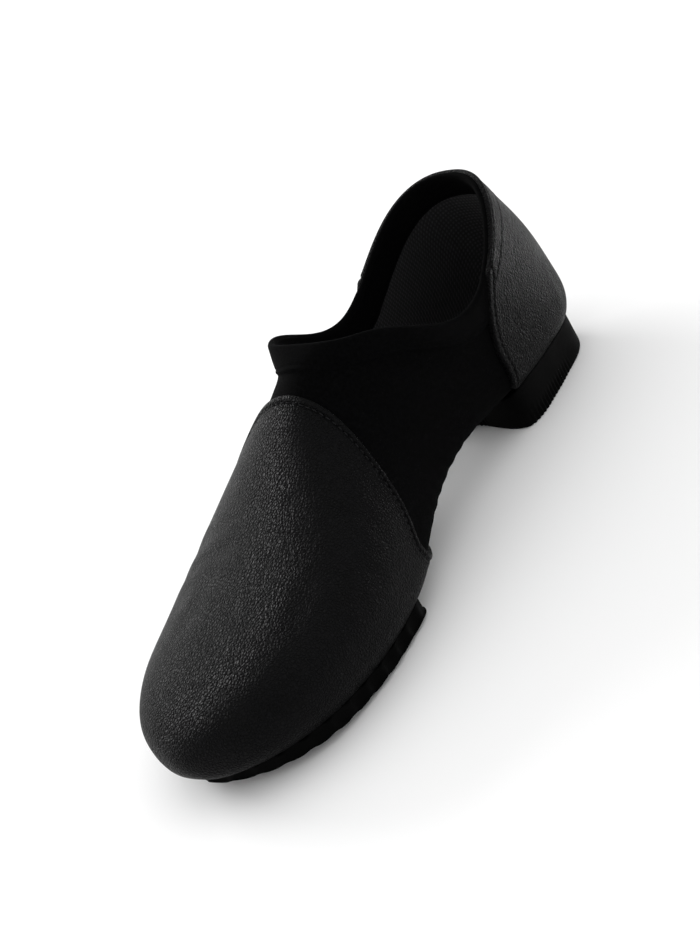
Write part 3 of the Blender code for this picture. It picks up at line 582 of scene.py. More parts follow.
class Nodes:
    """A short way to build a material's nodes."""

    def __init__(self, name, base, roughness):
        self.material = bpy.data.materials.new(name)
        self.material.use_nodes = True
        self.tree = self.material.node_tree
        self.shader = self.tree.nodes["Principled BSDF"]
        self.shader.inputs["Base Color"].default_value = (*base, 1)
        self.shader.inputs["Roughness"].default_value = roughness
        self.normal = None

    def add(self, kind, inputs=None, **settings):
        """A node with these settings; inputs that are sockets are linked, others set."""
        node = self.tree.nodes.new(kind)
        for key, value in settings.items():
            setattr(node, key, value)
        for key, value in (inputs or {}).items():
            if isinstance(value, bpy.types.NodeSocket):
                self.tree.links.new(value, node.inputs[key])
            else:
                node.inputs[key].default_value = value
        return node

    def place(self):
        return self.add("ShaderNodeTexCoord").outputs["Object"]

    def surface(self):
        return self.add("ShaderNodeUVMap", uv_map="surface").outputs["UV"]

    def noise(self, where, scale, detail=3.0, rough=0.5):
        inputs = {"Vector": where, "Scale": scale, "Detail": detail, "Roughness": rough}
        return self.add("ShaderNodeTexNoise", inputs).outputs["Fac"]

    def cells(self, where, scale):
        """0 in the valleys between rounded cells, rising towards their middles."""
        return self.add("ShaderNodeTexVoronoi", {"Vector": where, "Scale": scale},
                        feature="DISTANCE_TO_EDGE").outputs["Distance"]

    def bands(self, where, period, direction, distortion=0.0):
        """Parallel threads: a wave with this period."""
        inputs = {"Vector": where, "Scale": math.pi / 10 / period, "Distortion": distortion}
        return self.add("ShaderNodeTexWave", inputs, bands_direction=direction).outputs["Fac"]

    def spread(self, value, low, high, out_low, out_high):
        """value's range from low to high stretched to another range."""
        inputs = {"Value": value, "From Min": low, "From Max": high, "To Min": out_low,
                  "To Max": out_high}
        return self.add("ShaderNodeMapRange", inputs).outputs["Result"]

    def combine(self, first, second, operation="MULTIPLY"):
        return self.add("ShaderNodeMath", {0: first, 1: second}, operation=operation).outputs[0]

    def tint(self, factor, first, second):
        """A colour between two, by factor."""
        node = self.add("ShaderNodeMix", data_type="RGBA")
        self.tree.links.new(factor, node.inputs["Factor"])
        node.inputs[6].default_value = (*first, 1)
        node.inputs[7].default_value = (*second, 1)
        return node.outputs[2]

    def relief(self, height, depth, strength=1.0):
        inputs = {"Height": height, "Distance": depth, "Strength": strength}
        if self.normal:
            inputs["Normal"] = self.normal
        self.normal = self.add("ShaderNodeBump", inputs).outputs["Normal"]

    def finish(self, base=None, roughness=None, **sockets):
        """Links what varies over the surface, and sets what is the same all over."""
        if base:
            self.tree.links.new(base, self.shader.inputs["Base Color"])
        if roughness:
            self.tree.links.new(roughness, self.shader.inputs["Roughness"])
        if self.normal:
            self.tree.links.new(self.normal, self.shader.inputs["Normal"])
        for key, value in sockets.items():
            self.shader.inputs[key.replace("_", " ")].default_value = value
        return self.material


def made_once(make):
    """Makes the material of this name the first time, and finds it afterwards."""

    @functools.wraps(make)
    def find():
        return bpy.data.materials.get(make.__name__) or make()

    return find


def lighter(base, times):
    return tuple(min(1.0, channel * times) for channel in base)


@made_once
def leather():
    """Smooth black leather: fine pebbles with valleys between them, pores, and a satin
    finish that is a little more worn in patches."""
    base = tuple(finish().leather)
    n = Nodes("leather", base, 0.42)
    where = n.place()
    wander = n.noise(where, 90, 4)
    pebbles = n.spread(n.cells(where, 900), 0.0, 0.30, 0.0, 1.0)
    small = n.spread(n.cells(where, 2600), 0.0, 0.25, 0.0, 1.0)
    n.relief(n.noise(where, 60, 4), 0.00035, 0.4)
    n.relief(pebbles, 0.00055, 1.0)
    n.relief(small, 0.00006, 0.6)
    worn = n.spread(wander, 0.3, 0.7, 0.0, 1.0)
    rough = n.combine(n.spread(worn, 0, 1, 0.30, 0.42), n.spread(pebbles, 0, 1, 0.10, 0.0), "ADD")
    tint = n.tint(worn, lighter(base, 0.85), lighter(base, 1.5))
    return n.finish(tint, rough, Specular_IOR_Level=0.050)


@made_once
def stretch_fabric():
    """Matt black stretch fabric: fine knitted ribs along the surface over a soft nap."""
    base = tuple(finish().fabric)
    n = Nodes("stretch_fabric", base, 0.9)
    where, flat = n.place(), n.surface()
    ribs = n.bands(flat, 0.00075, "X", 1.2)
    courses = n.bands(flat, 0.00060, "Y", 1.2)
    knit = n.combine(ribs, courses)
    n.relief(n.noise(where, 140, 3), 0.0003, 0.35)
    n.relief(knit, 0.00009, 0.6)
    tint = n.tint(n.spread(n.noise(where, 900, 2), 0.35, 0.7, 0, 1), lighter(base, 0.8),
                  lighter(base, 1.8))
    rough = n.spread(knit, 0, 1, 0.95, 0.82)
    return n.finish(tint, rough, Specular_IOR_Level=0.025)


@made_once
def lining():
    """Charcoal warp-knit lining with small open meshes."""
    base = tuple(finish().lining)
    n = Nodes("lining", base, 0.9)
    flat = n.surface()
    meshes = n.combine(n.bands(flat, 0.0013, "X", 0.6), n.bands(flat, 0.0016, "Y", 0.6))
    n.relief(n.noise(n.place(), 120, 3), 0.0003, 0.3)
    n.relief(meshes, 0.0002, 0.7)
    tint = n.tint(meshes, lighter(base, 0.45), lighter(base, 1.4))
    return n.finish(tint, n.spread(meshes, 0, 1, 0.95, 0.8), Sheen_Weight=0.05,
                    Specular_IOR_Level=0.2)


@made_once
def sock_fabric():
    """Dark grey brushed sock liner with a close twill."""
    base = tuple(finish().sock)
    n = Nodes("sock_fabric", base, 0.92)
    flat = n.surface()
    twill = n.bands(flat, 0.0011, "DIAGONAL", 0.5)
    nap = n.noise(n.place(), 1500, 3)
    n.relief(twill, 0.00016, 0.6)
    n.relief(nap, 0.00012, 0.5)
    tint = n.tint(n.combine(twill, nap, "ADD"), lighter(base, 0.5), lighter(base, 1.2))
    return n.finish(tint, None, Sheen_Weight=0.08, Specular_IOR_Level=0.2)


@made_once
def rubber():
    """Matt black rubber with a dusty, finely pitted skin."""
    base = tuple(finish().rubber)
    n = Nodes("rubber", base, 0.62)
    where = n.place()
    pits = n.noise(where, 1300, 4)
    dust = n.spread(n.noise(where, 90, 5, 0.6), 0.45, 0.75, 0, 1)
    n.relief(pits, 0.00010, 0.5)
    n.relief(n.noise(where, 220, 2), 0.00015, 0.3)
    tint = n.tint(dust, lighter(base, 0.8), lighter(base, 2.2))
    return n.finish(tint, n.spread(dust, 0, 1, 0.55, 0.74), Specular_IOR_Level=0.022)


@made_once
def thread():
    """Black bonded thread with its twist."""
    base = tuple(finish().thread)
    n = Nodes("thread", base, 0.5)
    twist = n.bands(n.surface(), 0.00022, "DIAGONAL")
    n.relief(twist, 0.00004, 0.8)
    return n.finish(n.tint(twist, lighter(base, 0.6), lighter(base, 1.5)), None,
                    Specular_IOR_Level=0.12)


def full_turns(count):
    """Turns all the way round, the first and last at the bottom's middle line."""
    return np.linspace(-math.pi, math.pi, count + 1)


def hem_shape(to_rim, hemmed, s):
    """Down from the rim: a soft swell along the hem's middle, the groove of its seam, and
    a step down to the plain wall. Gives the wall's thickness."""
    step = ease((s.hem_width + HEM_FOOT - to_rim) / (1.5 * MM))
    thick = s.wall + s.hem_step * hemmed * step
    thick -= 0.16 * MM * hemmed * bump_at(to_rim, s.hem_width - 2.0 * MM, 0.5 * MM)
    return thick + 0.10 * MM * hemmed * bump_at(to_rim, 5 * MM, 3 * MM)


class JAZZSHOE_OT_upper(bpy.types.Operator):
    """Stretch body, collar hem and lining: one wall from toe to collar"""

    bl_idname = "jazz_shoe.upper"
    bl_label = "Upper"

    def execute(self, context):
        s, last = sizes(), Last()
        turn = full_turns(244)
        side = np.degrees(last.counter_turns(np.array([LAST_ROW - 0.5]))[0])
        hemmed = ease((np.abs(np.degrees(turn)) - side + 5) / 4)
        thickness = s.wall + s.hem_step * hemmed
        outside, edge_row = self.outside(s, last, turn, hemmed, thickness)
        rim = self.rim(last, edge_row, turn, thickness / 2)
        inside, lined_from = self.inside(s, last, edge_row, turn)
        grid = np.concatenate([outside, rim, inside])
        number = np.zeros(len(grid) - 1, int)
        number[len(outside) + len(rim) + lined_from:] = 1
        add_piece("upper_stretch", [(grid, number)], [stretch_fabric(), lining()], ["upper"])
        return {"FINISHED"}

    @staticmethod
    def outside(s, last, turn, hemmed, thickness):
        """The outer face, and the rows of its upper edge: equal steps from the toe to the
        vamp's seam, then equal lengths up to the rim, closer at the hem. The thickness is
        the hem's shape and the creases of the waist."""
        seam = last.seam_rows(turn)
        rim = np.full(turn.shape, float(LAST_ROW))
        whole = last.rows_from(seam, rim, turn, np.zeros((1, len(turn))))[1]
        fine = 13 * MM
        plain = np.linspace(0, 1, 96)[:-1, None] * (whole - fine)
        collar = (whole - fine) + np.linspace(0, 1, 44)[:, None] * (fine - thickness / 2)
        distance = np.concatenate([plain, collar])
        body = last.rows_from(seam, rim, turn, distance)[0]
        toe = seam * np.linspace(0, 1, 34)[:-1, None]
        rows = np.concatenate([toe, body])
        turns = np.broadcast_to(turn, rows.shape)
        to_rim = np.concatenate([np.full(toe.shape, 1.0), whole - distance])
        surface = last.out(rows, turns, s.wall)
        thick = hem_shape(to_rim, hemmed, s) + creases(last, surface, WAIST_CREASES, s.wall)
        return last.out(rows, turns, thick), rows[-1]

    @staticmethod
    def rim(last, edge_row, turn, radius):
        """The collar's edge: half a circle from the outer face over to the inner one."""
        inner = last.at(edge_row, turn)
        normal = last.normals(edge_row, turn)
        up = inner - last.at(edge_row - 0.05, turn)
        up /= np.linalg.norm(up, axis=1, keepdims=True)
        bend = np.linspace(0, math.pi, 11)[1:-1, None, None]
        radius = radius[:, None]
        return inner + normal * radius * (1 + np.cos(bend)) + up * radius * np.sin(bend)

    @staticmethod
    def inside(s, last, edge_row, turn):
        """The inner face from the collar down to the toe, at equal lengths as far as the
        hem's fold and a little below it, and the line on which the lining begins. The fold
        stands in by an eased step."""
        depth = np.concatenate([np.linspace(0, 12 * MM, 25), np.linspace(13 * MM, 24 * MM, 6)])
        top = last.rows_from(edge_row, edge_row * 0.45, turn, depth)[0]
        low = top[-1] * np.linspace(1, 0, 60)[1:, None]
        rows = np.concatenate([top, low])
        deep = np.concatenate([depth, np.full(len(low), 1.0)])[:, None]
        fold = 0.35 * MM * ease((s.hem_width - deep) / (0.9 * MM))
        fold = fold * (deep > 0.4 * MM) + 0 * turn
        face = last.out(rows, np.broadcast_to(turn, rows.shape), -fold)
        return face, np.searchsorted(depth, s.hem_width + HEM_FOOT)


def leather_edge(distance, s):
    """The vamp's turned edge: a ridge along the edge, the stitch groove, and a lower
    ridge that fades into the plain leather. Gives the extra thickness."""
    d = distance / MM
    return (s.ridge * ease((3.0 - d) / 1.4) - s.groove * bump_at(d, EDGE_SEAM, 0.42)
            + 0.30 * s.ridge * bump_at(d, 3.9, 1.0))


class JAZZSHOE_OT_vamp(bpy.types.Operator):
    """Leather over the toe and the instep, wrapped under the foot, its rear edge turned"""

    bl_idname = "jazz_shoe.vamp"
    bl_label = "Vamp"

    def execute(self, context):
        s, last = sizes(), Last()
        # Rows at equal lengths from the seam to the tip of the toe, closer near the seam
        turn = full_turns(276)
        seam = last.seam_rows(turn)
        whole = last.rows_from(seam, 0 * seam, turn, np.zeros((1, len(turn))))[1]
        near = np.concatenate([[0, 0.04, 0.12, 0.25, 0.42], np.arange(0.65, 8, 0.26)]) * MM
        far = 8 * MM + np.linspace(0, 1, 112)[1:, None] * (whole - 8 * MM)
        distance = np.concatenate([np.repeat(near[:, None], len(turn), axis=1), far])
        rows = last.rows_from(seam, 0 * seam, turn, distance)[0]
        rows[-1] = 0
        turns = np.broadcast_to(turn, rows.shape)
        base = s.wall + UNDER_LEATHER
        surface = last.out(rows, turns, last.stack)
        extra = leather_edge(distance, s) + creases(last, surface, VAMP_CREASES, last.stack)
        thick = (last.stack - base + extra) * round_edge(distance, EDGE_ROUNDING)
        outside = last.out(rows, turns, base + thick)
        end = len(rows) - 1
        few = np.concatenate([np.arange(0, 30, 3), np.arange(30, end, 6), [end]])
        inside = last.out(rows[few], turns[few], base)
        grid = np.concatenate([outside[::-1], inside[1:]])
        add_piece("vamp_leather", [(grid, 0)], [leather()], ["vamp"])
        line_rows = last.rows_from(seam, seam - 2, turn, [EDGE_SEAM * MM])[0][0]
        lift = last.stack + s.ridge * 0.2 - s.groove + 0.10 * MM
        line = last.out(line_rows, turn, lift)
        bars = stitches(line, last.normals(line_rows, turn), s.stitch_pitch, s.thread)
        add_piece("vamp_stitches", [(bar, 0) for bar in bars], [thread()], [])
        return {"FINISHED"}


def counter_rim_shape(distance, s):
    """Down from the rim of the counter: a narrow ridge, a groove, a band a little raised,
    the stitch groove and the main panel. Gives the extra thickness."""
    d = distance / MM
    upper, lower = RIM_SEAMS
    return (0.8 * s.ridge * bump_at(d, 1.0, 0.85) - s.groove * bump_at(d, upper, 0.40)
            + 0.45 * s.ridge * ease((d - 2.2) / 1.0) * ease((9.6 - d) / 1.2)
            - s.groove * bump_at(d, lower, 0.45) + 0.25 * s.ridge * bump_at(d, 10.3, 1.1))


def read_across(at, places, values):
    """values at the place in each row where places reaches at; places may only grow."""
    return np.array([np.interp(at, line, row) for line, row in zip(places, values)])


class JAZZSHOE_OT_counter(bpy.types.Operator):
    """Leather cup round the heel, with a stitched band along the collar"""

    bl_idname = "jazz_shoe.counter"
    bl_label = "Heel counter"

    def execute(self, context):
        s, last = sizes(), Last()
        along, rows, turns = self.grid(last)
        surface = last.out(rows, turns, last.stack)
        to_edge = self.to_edge(surface)
        steps = np.linalg.norm(np.diff(surface, axis=0), axis=2)
        from_foot = np.concatenate([np.zeros((1, rows.shape[1])), np.cumsum(steps, axis=0)])
        to_rim = from_foot[-1] - from_foot
        base = s.wall + UNDER_LEATHER
        extra = leather_edge(to_edge, s)
        extra = extra + counter_rim_shape(to_rim, s) * ease((to_edge / MM - 3.2) / 1.2)
        extra += creases(last, surface, COUNTER_CREASES, last.stack)
        rounded = (round_edge(to_edge, EDGE_ROUNDING) * round_edge(to_rim, CUT_ROUNDING)
                   * round_edge(from_foot, CUT_ROUNDING))
        outside = last.out(rows, turns, base + (last.stack - base + extra) * rounded)
        inside = last.out(rows, turns, base)
        add_piece("counter_leather", [(outside, 0), (inside, 0)], [leather()],
                  ["heel_counter"])
        seams = self.edge_seams(along, turns, to_edge)
        seams += self.rim_seams(rows, turns, to_edge, to_rim)
        lift = last.stack - s.groove + 0.16 * MM
        bars = []
        for row, at in seams:
            line = last.out(row, at, lift)
            bars += stitches(line, last.normals(row, at), s.stitch_pitch, s.thread)
        add_piece("counter_stitches", [(bar, 0) for bar in bars], [thread()], [])
        return {"FINISHED"}

    def grid(self, last):
        """The counter's grid: shares of the way from the breast to the rim, its rows, and
        its turns from one front edge round the back to the other, closer near each edge."""
        share = np.concatenate([np.linspace(0, 0.84, 66), np.linspace(0.84, 1, 36)[1:]])
        share = np.concatenate([-share[:0:-1], share])
        along = np.concatenate([[0, 0.002, 0.006], np.linspace(0.012, 0.78, 84),
                                np.linspace(0.78, 0.985, 62)[1:], [0.988, 0.991, 0.994]])
        edge = last.counter_turns(self.rows(math.radians(COUNTER_SIDE), along))
        turns = edge[:, None] * share
        return along, self.rows(turns, along[:, None]), turns

    @staticmethod
    def to_edge(surface):
        """The distance from each point to the front edge on its side."""
        half = surface.shape[1] // 2
        distance = np.empty(surface.shape[:2])
        distance[:, :half] = distance_to_line(surface[:, :half], dense(surface[:, 0]))
        distance[:, half:] = distance_to_line(surface[:, half:], dense(surface[:, -1]))
        distance[:, [0, -1]] = 0
        return distance

    def edge_seams(self, along, turns, to_edge):
        """Rows and turns of the seam beside each front edge, short of the foot and rim."""
        half = turns.shape[1] // 2
        used = slice(14, len(along) - 6)
        seams = []
        for side in (slice(0, half), slice(-1, half, -1)):
            at = read_across(EDGE_SEAM * MM, to_edge[used, side], turns[used, side])
            seams.append((self.rows(at, along[used]), at))
        return seams

    @staticmethod
    def rim_seams(rows, turns, to_edge, to_rim):
        """Rows and turns of the seams below the rim, clear of the front edges."""
        down = to_rim[::-1].T
        seams = []
        for inset in RIM_SEAMS:
            at = read_across(inset * MM, down, turns[::-1].T)
            row = read_across(inset * MM, down, rows[::-1].T)
            clear = read_across(inset * MM, down, to_edge[::-1].T) > 4.2 * MM
            seams.append((row[clear], at[clear]))
        return seams

    @staticmethod
    def rows(turn, along):
        """Rows at these shares of the way from the heel's breast to the rim."""
        breast = BREAST_ROW + (BREAST_ROW_AT_TOP - BREAST_ROW) * np.sin(np.abs(turn) / 2) ** 4
        return breast + (LAST_ROW - breast) * along


def dense(line, times=4):
    """The same line with more points between its own."""
    at = np.linspace(0, len(line) - 1, times * len(line))
    return np.stack([np.interp(at, np.arange(len(line)), line[:, k]) for k in range(3)], axis=1)


def closed_curve(points, count):
    """A smooth closed curve through these points: count points and outward normals, the
    first point again at the end."""
    tiled = np.concatenate([points, points, points, points[:1]])
    run = np.concatenate([[0], np.cumsum(np.linalg.norm(np.diff(tiled, axis=0), axis=1))])
    start, end = run[len(points)], run[2 * len(points)]
    at = start + (end - start) * np.linspace(0, 1, count + 1)
    curve = smooth(run, tiled, at)
    ahead = smooth(run, tiled, at + MM) - smooth(run, tiled, at - MM)
    ahead /= np.linalg.norm(ahead, axis=1, keepdims=True)
    curve[-1] = curve[0]
    ahead[-1] = ahead[0]
    return curve, np.stack([ahead[:, 1], -ahead[:, 0]], axis=1), at - start


def rough_turn(y, middle=2 * MM, radius=45 * MM):
    """A first guess for the turn at y on the last's lower side, for Last.under."""
    return np.arctan((y + middle) / radius)


def rubber_grid(last, outline, outwards, bottom, wall_wave, rounding):
    """Rings of points for a rubber piece: its top meets the leather's underside, its wall
    drops to the bottom with a rounded lower edge, and the bottom closes at its middle.
    bottom(xy, share) is the height there, and wall_wave how far the wall steps in by
    height share."""
    centre = outline[:-1].mean(axis=0)
    rings = []

    def top_of(ring):
        x, y = ring.T
        return last.under(x, y, last.stack - 0.05 * MM, last.floor_row(x), rough_turn(y))

    for share in (0.0, 0.3, 0.6, 0.8, 0.92, 0.98):
        ring = centre + (outline - centre) * share
        rings.append(np.column_stack([ring, top_of(ring)]))
    head = top_of(outline)
    foot = bottom(outline, 1.0)
    for level in np.linspace(0, 1, 12):
        ring = outline - outwards * wall_wave(level)[:, None]
        height = head + (foot + rounding - head) * level
        rings.append(np.column_stack([ring, height]))
    for bend in np.radians((22, 45, 68, 90)):
        inset = rounding * (1 - math.cos(bend)) + wall_wave(1.0)
        ring = outline - outwards * inset[:, None]
        rings.append(np.column_stack([ring, foot + rounding * (1 - math.sin(bend))]))
    inner = rings[-1][:, :2]
    for share in (0.975, 0.95, 0.92, 0.88, 0.84, 0.78, 0.68, 0.5, 0.25, 0.0):
        ring = centre + (inner - centre) * share
        rings.append(np.column_stack([ring, bottom(ring, share)]))
    rings[0][:, 2] = rings[0][0, 2]
    rings[-1][:, 2] = rings[-1][0, 2]
    return np.stack(rings)


class JAZZSHOE_OT_soles(bpy.types.Operator):
    """Forepart pad with rounded lugs, and the low heel block"""

    bl_idname = "jazz_shoe.soles"
    bl_label = "Rubber soles"

    def execute(self, context):
        s, last = sizes(), Last()
        self.pad(s, last)
        self.block(s, last)
        return {"FINISHED"}

    def pad(self, s, last):
        """The pad: its outline is the forepart's, set in along its normal, with a bowed
        rear edge. A power of a raised cosine round it gives the grooves between lugs."""
        rows = np.array(PAD_ROWS)
        flat = last.origin[:2]
        inner = last.out(rows, -math.pi / 2, last.stack)[:, :2] + flat
        outer = last.out(rows[::-1], math.pi / 2, last.stack)[:, :2] + flat
        tip = last.out(np.array([0.0]), 0.0, last.stack)[:, :2] + flat
        edge = np.concatenate([inner, tip, outer])
        ahead = np.gradient(edge, axis=0)
        ahead /= np.linalg.norm(ahead, axis=1, keepdims=True)
        inset = s.pad_inset + s.pad_toe_inset * np.clip(1 - edge[:, 0] / TOE_INSET_LENGTH, 0, 1)
        edge = edge + np.stack([ahead[:, 1], -ahead[:, 0]], axis=1) * inset[:, None]
        half = (edge[-1, 1] - edge[0, 1]) / 2
        centre = last.at(last.floor_row(s.pad_end - last.origin[0]), 0.0)[1] + flat[1]
        side, bow = s.pad_end - PAD_REAR_BOW, PAD_BOW_SHARE * half
        rear = [(side, centre + bow), (s.pad_end, centre), (side, centre - bow)]
        outline, outwards, _ = closed_curve(np.concatenate([edge, rear]), LUG_POINTS * LUG_COUNT)
        round_pad = 2 * math.pi * np.arange(len(outline)) / (len(outline) - 1)
        wave = (0.5 - 0.5 * np.cos(LUG_COUNT * round_pad)) ** LUG_POWER
        wave = wave * np.clip((s.pad_end - LUG_FADE - outline[:, 0]) / LUG_FADE, 0, 1)
        outline = outline - flat

        def bottom(ring, share):
            x, y = ring.T
            row = last.floor_row(x)
            spring = last.at(row, 0.0)[:, 2] - last.stack
            under = last.under(x, y, last.stack, row, rough_turn(y))
            height = np.maximum((under + spring) / 2 - s.gap - s.outsole - TREAD_FLAT, 0)
            return height + s.lug_depth * wave * np.clip((share - 0.84) / 0.08, 0, 1)

        def wall(level):
            return s.lug_reach * wave * ease(level * 3 + 0.25)

        grid = rubber_grid(last, outline, outwards, bottom, wall, PAD_ROUNDING)
        add_piece("forepart_pad", [(grid, 0)], [rubber()], ["outsole_forepart"])

    def block(self, s, last):
        """The heel block: its outline is a level line of the counter's foot, with a hollow
        breast between rounded corners. A raised cosine along it gives the notches."""
        back = s.last_length + last.stack - s.block_setback
        breast = back - s.block_length
        corner = BLOCK_CORNER
        turn = np.radians(np.linspace(-90, 90, 11))
        starts = [(BLOCK_MIDDLE * s.last_length, 0)] * len(turn)
        ways = [(math.cos(t), math.sin(t)) for t in turn]
        for sign in (1, -1):
            starts += [(breast + s.block_length * 0.3, 0), (breast + corner, 0)]
            ways += [(0, sign)] * 2
        foot = self.foot_edge(s, last, np.array(starts), np.array(ways))
        points = list(foot[:len(turn)])
        sides = []
        for sign, first in ((1, len(turn)), (-1, len(turn) + 2)):
            waist, side = foot[first], foot[first + 1]
            bend = (breast + 0.3 * corner, side[1] - 0.3 * corner * sign)
            sides.append([waist, side, bend, (breast, side[1] - 1.2 * corner * sign)])
        points += sides[0] + [(breast + BREAST_HOLLOW, 0)] + sides[1][::-1]
        outline, outwards, gone = closed_curve(np.array([tuple(p) for p in points]), BLOCK_POINTS)
        outline = outline - last.origin[:2]
        reach = outline[:, 0] + last.origin[0] - breast
        notched = ease((NOTCHED_LENGTH * s.block_length - reach) / NOTCH_FADE)
        notched = notched * ease((reach - 1.5 * MM) / MM)
        notches = (0.5 - 0.5 * np.cos(2 * math.pi * gone / s.notch_pitch)) * notched

        def bottom(ring, share):
            return np.zeros(len(ring))

        def wall(level):
            return s.notch_depth * notches * ease((level - NOTCH_TOP) / 0.14)

        grid = rubber_grid(last, outline, outwards, bottom, wall, BLOCK_ROUNDING)
        add_piece("heel_rubber", [(grid, 0)], [rubber()], ["heel_block"])

    @staticmethod
    def foot_edge(s, last, starts, ways):
        """The points on the ways out from starts where the counter's foot has risen a
        little above a straight line along the heel's seat."""
        reach = np.linspace(0.25, 0.75, 60) * s.heel_width
        near = starts[:, None] + (reach[:, None] - BLOCK_INSIDE) * ways[:, None]
        ends = np.array(SEAT_ENDS) * s.last_length
        seat = last.at(last.floor_row(ends - last.origin[0]), 0.0)[:, 2] - last.stack
        slope = (seat[1] - seat[0]) / (ends[1] - ends[0])
        x, y = near[..., 0] - last.origin[0], near[..., 1] - last.origin[1]
        height = last.under(x, y, last.stack, last.floor_row(x), rough_turn(y, 0, 30 * MM))
        line = seat[0] + slope * (starts[:, :1] + reach * ways[:, :1] - ends[0])
        rise = np.maximum.accumulate(height - line, axis=1)
        found = np.array([np.interp(BLOCK_RISE, one, reach) for one in rise])
        return starts + found[:, None] * ways


class JAZZSHOE_OT_insole(bpy.types.Operator):
    """Thin sock liner on the inside of the bottom, rounded at the toe and the heel"""

    bl_idname = "jazz_shoe.insole"
    bl_label = "Insole"

    def execute(self, context):
        # Rows spaced by a cosine between the solid's ends, turns by a sine, and the half
        # width by a ninth power that rounds both ends
        s, last = sizes(), Last()
        low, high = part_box("insole")
        ends = last.floor_row(np.array([low[0] + 0.4 * MM, high[0] - 0.2 * MM]))
        along = 0.5 - 0.5 * np.cos(np.linspace(0, math.pi, 150))
        across = np.sin(np.linspace(-math.pi / 2, math.pi / 2, 70))
        rows = ends[0] + (ends[1] - ends[0]) * along[:, None] + 0 * across
        reach = (1 - np.abs(2 * along - 1) ** 9) ** 0.5
        turns = math.radians(INSOLE_TURN) * reach[:, None] * across
        surface = last.out(rows, turns, -s.gap)
        to_edge = np.minimum(*[distance_to_line(surface, dense(surface[:, k])) for k in (0, -1)])
        to_edge[[0, -1]] = 0
        thick = s.insole * round_edge(to_edge, INSOLE_ROUNDING)
        top = last.out(rows, turns, -s.gap - thick)
        add_piece("sock_liner", [(top, 0), (surface, 0)], [sock_fabric()], ["insole"])
        return {"FINISHED"}


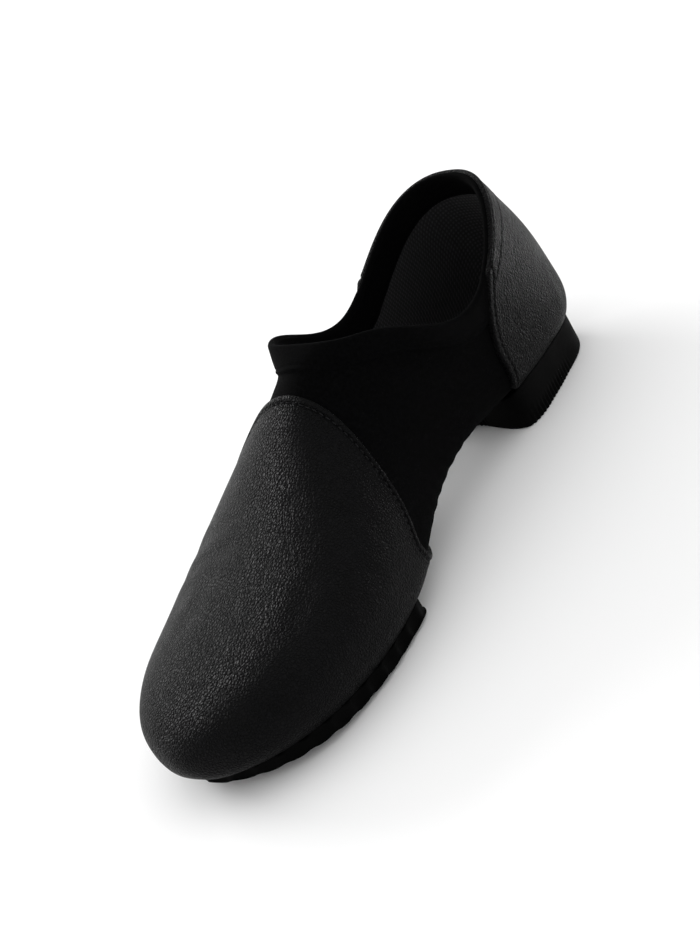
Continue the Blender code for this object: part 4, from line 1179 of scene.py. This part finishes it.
class JAZZSHOE_OT_stage(bpy.types.Operator):
    """Pale floor, soft lights and the camera"""

    bl_idname = "jazz_shoe.stage"
    bl_label = "Stage"

    def execute(self, context):
        scene = context.scene
        mesh = bpy.data.meshes.new("floor")
        mesh.from_pydata([(-6, -6, 0), (6, -6, 0), (6, 6, 0), (-6, 6, 0)], [], [(0, 1, 2, 3)])
        floor = bpy.data.objects.new("floor", mesh)
        scene.collection.objects.link(floor)
        n = Nodes("floor", tuple(finish().floor), 0.8)
        mesh.materials.append(n.finish(None, None, Specular_IOR_Level=0.2))
        scene.world = scene.world or bpy.data.worlds.new("World")
        scene.world.use_nodes = True
        background = scene.world.node_tree.nodes["Background"]
        background.inputs["Color"].default_value = (1, 1, 1, 1)
        background.inputs["Strength"].default_value = 1.05
        self.softbox("back", place=(0.15, 1.15, 0.46), width=0.60, height=0.30, power=8)
        self.snoot("bounce", place=(0.45, -0.30, 0.95), target=(0.225, -0.062, 0), power=420)
        self.camera(scene)
        scene.view_settings.view_transform = "Standard"
        return {"FINISHED"}

    def softbox(self, name, place, width, height, power):
        """A rectangular light at place that faces the shoe."""
        light = bpy.data.lights.new(name, "AREA")
        light.shape = "RECTANGLE"
        light.size, light.size_y = width, height
        light.energy = power
        self.hang(light, place, LIGHT_TARGET)

    def snoot(self, name, place, target, power):
        """A narrow soft-edged light on the floor, which the leather above it mirrors."""
        light = bpy.data.lights.new(name, "SPOT")
        light.spot_size, light.spot_blend = math.radians(7), 1.0
        light.shadow_soft_size = 0.03
        light.energy = power
        self.hang(light, place, target)

    @staticmethod
    def hang(light, place, target):
        """Puts the light at place and turns it to target."""
        lamp = bpy.data.objects.new(light.name, light)
        lamp.location = place
        lamp.rotation_mode = "QUATERNION"
        aim = Vector(place) - Vector(target)
        lamp.rotation_quaternion = aim.to_track_quat("Z", "Y")
        bpy.context.scene.collection.objects.link(lamp)

    def camera(self, scene):
        """Camera towards the toe on the big-toe side, looking down and rolled so that the
        heel is at the upper right."""
        azimuth, elevation, roll = (math.radians(a) for a in CAMERA_ANGLES)
        view = Vector((math.sin(azimuth) * math.cos(elevation),
                       -math.cos(azimuth) * math.cos(elevation), math.sin(elevation)))
        lens = bpy.data.cameras.new("camera")
        lens.lens = CAMERA_LENS
        lens.clip_start = 0.05
        camera = bpy.data.objects.new("camera", lens)
        camera.location = Vector(CAMERA_TARGET) + view * CAMERA_DISTANCE
        camera.rotation_mode = "QUATERNION"
        camera.rotation_quaternion = view.to_track_quat("Z", "Y") @ Quaternion((0, 0, 1), roll)
        scene.collection.objects.link(camera)
        scene.camera = camera


STEPS = (JAZZSHOE_OT_upper, JAZZSHOE_OT_vamp, JAZZSHOE_OT_counter, JAZZSHOE_OT_soles,
         JAZZSHOE_OT_insole, JAZZSHOE_OT_stage)


class JAZZSHOE_PT_panel(bpy.types.Panel):
    """The shoe's pieces and sizes"""

    bl_idname = "JAZZSHOE_PT_panel"
    bl_label = "Jazz shoe"
    bl_space_type = "VIEW_3D"
    bl_region_type = "UI"
    bl_category = "Jazz shoe"

    def draw(self, context):
        for step in STEPS:
            self.layout.operator(step.bl_idname)
        for group in (sizes(), finish()):
            box = self.layout.box()
            for name in group.__annotations__:
                box.prop(group, name)


CLASSES = (JazzShoeSizes, JazzShoeFinish, *STEPS, JAZZSHOE_PT_panel)


def register():
    for part in CLASSES:
        bpy.utils.register_class(part)
    bpy.types.Scene.jazz_shoe_sizes = PointerProperty(type=JazzShoeSizes)
    bpy.types.Scene.jazz_shoe_finish = PointerProperty(type=JazzShoeFinish)


def unregister():
    del bpy.types.Scene.jazz_shoe_finish
    del bpy.types.Scene.jazz_shoe_sizes
    for part in reversed(CLASSES):
        bpy.utils.unregister_class(part)


def main():
    register()
    bpy.ops.jazz_shoe.upper()
    bpy.ops.jazz_shoe.vamp()
    bpy.ops.jazz_shoe.counter()
    bpy.ops.jazz_shoe.soles()
    bpy.ops.jazz_shoe.insole()
    bpy.ops.jazz_shoe.stage()


if __name__ == "__main__":
    main()
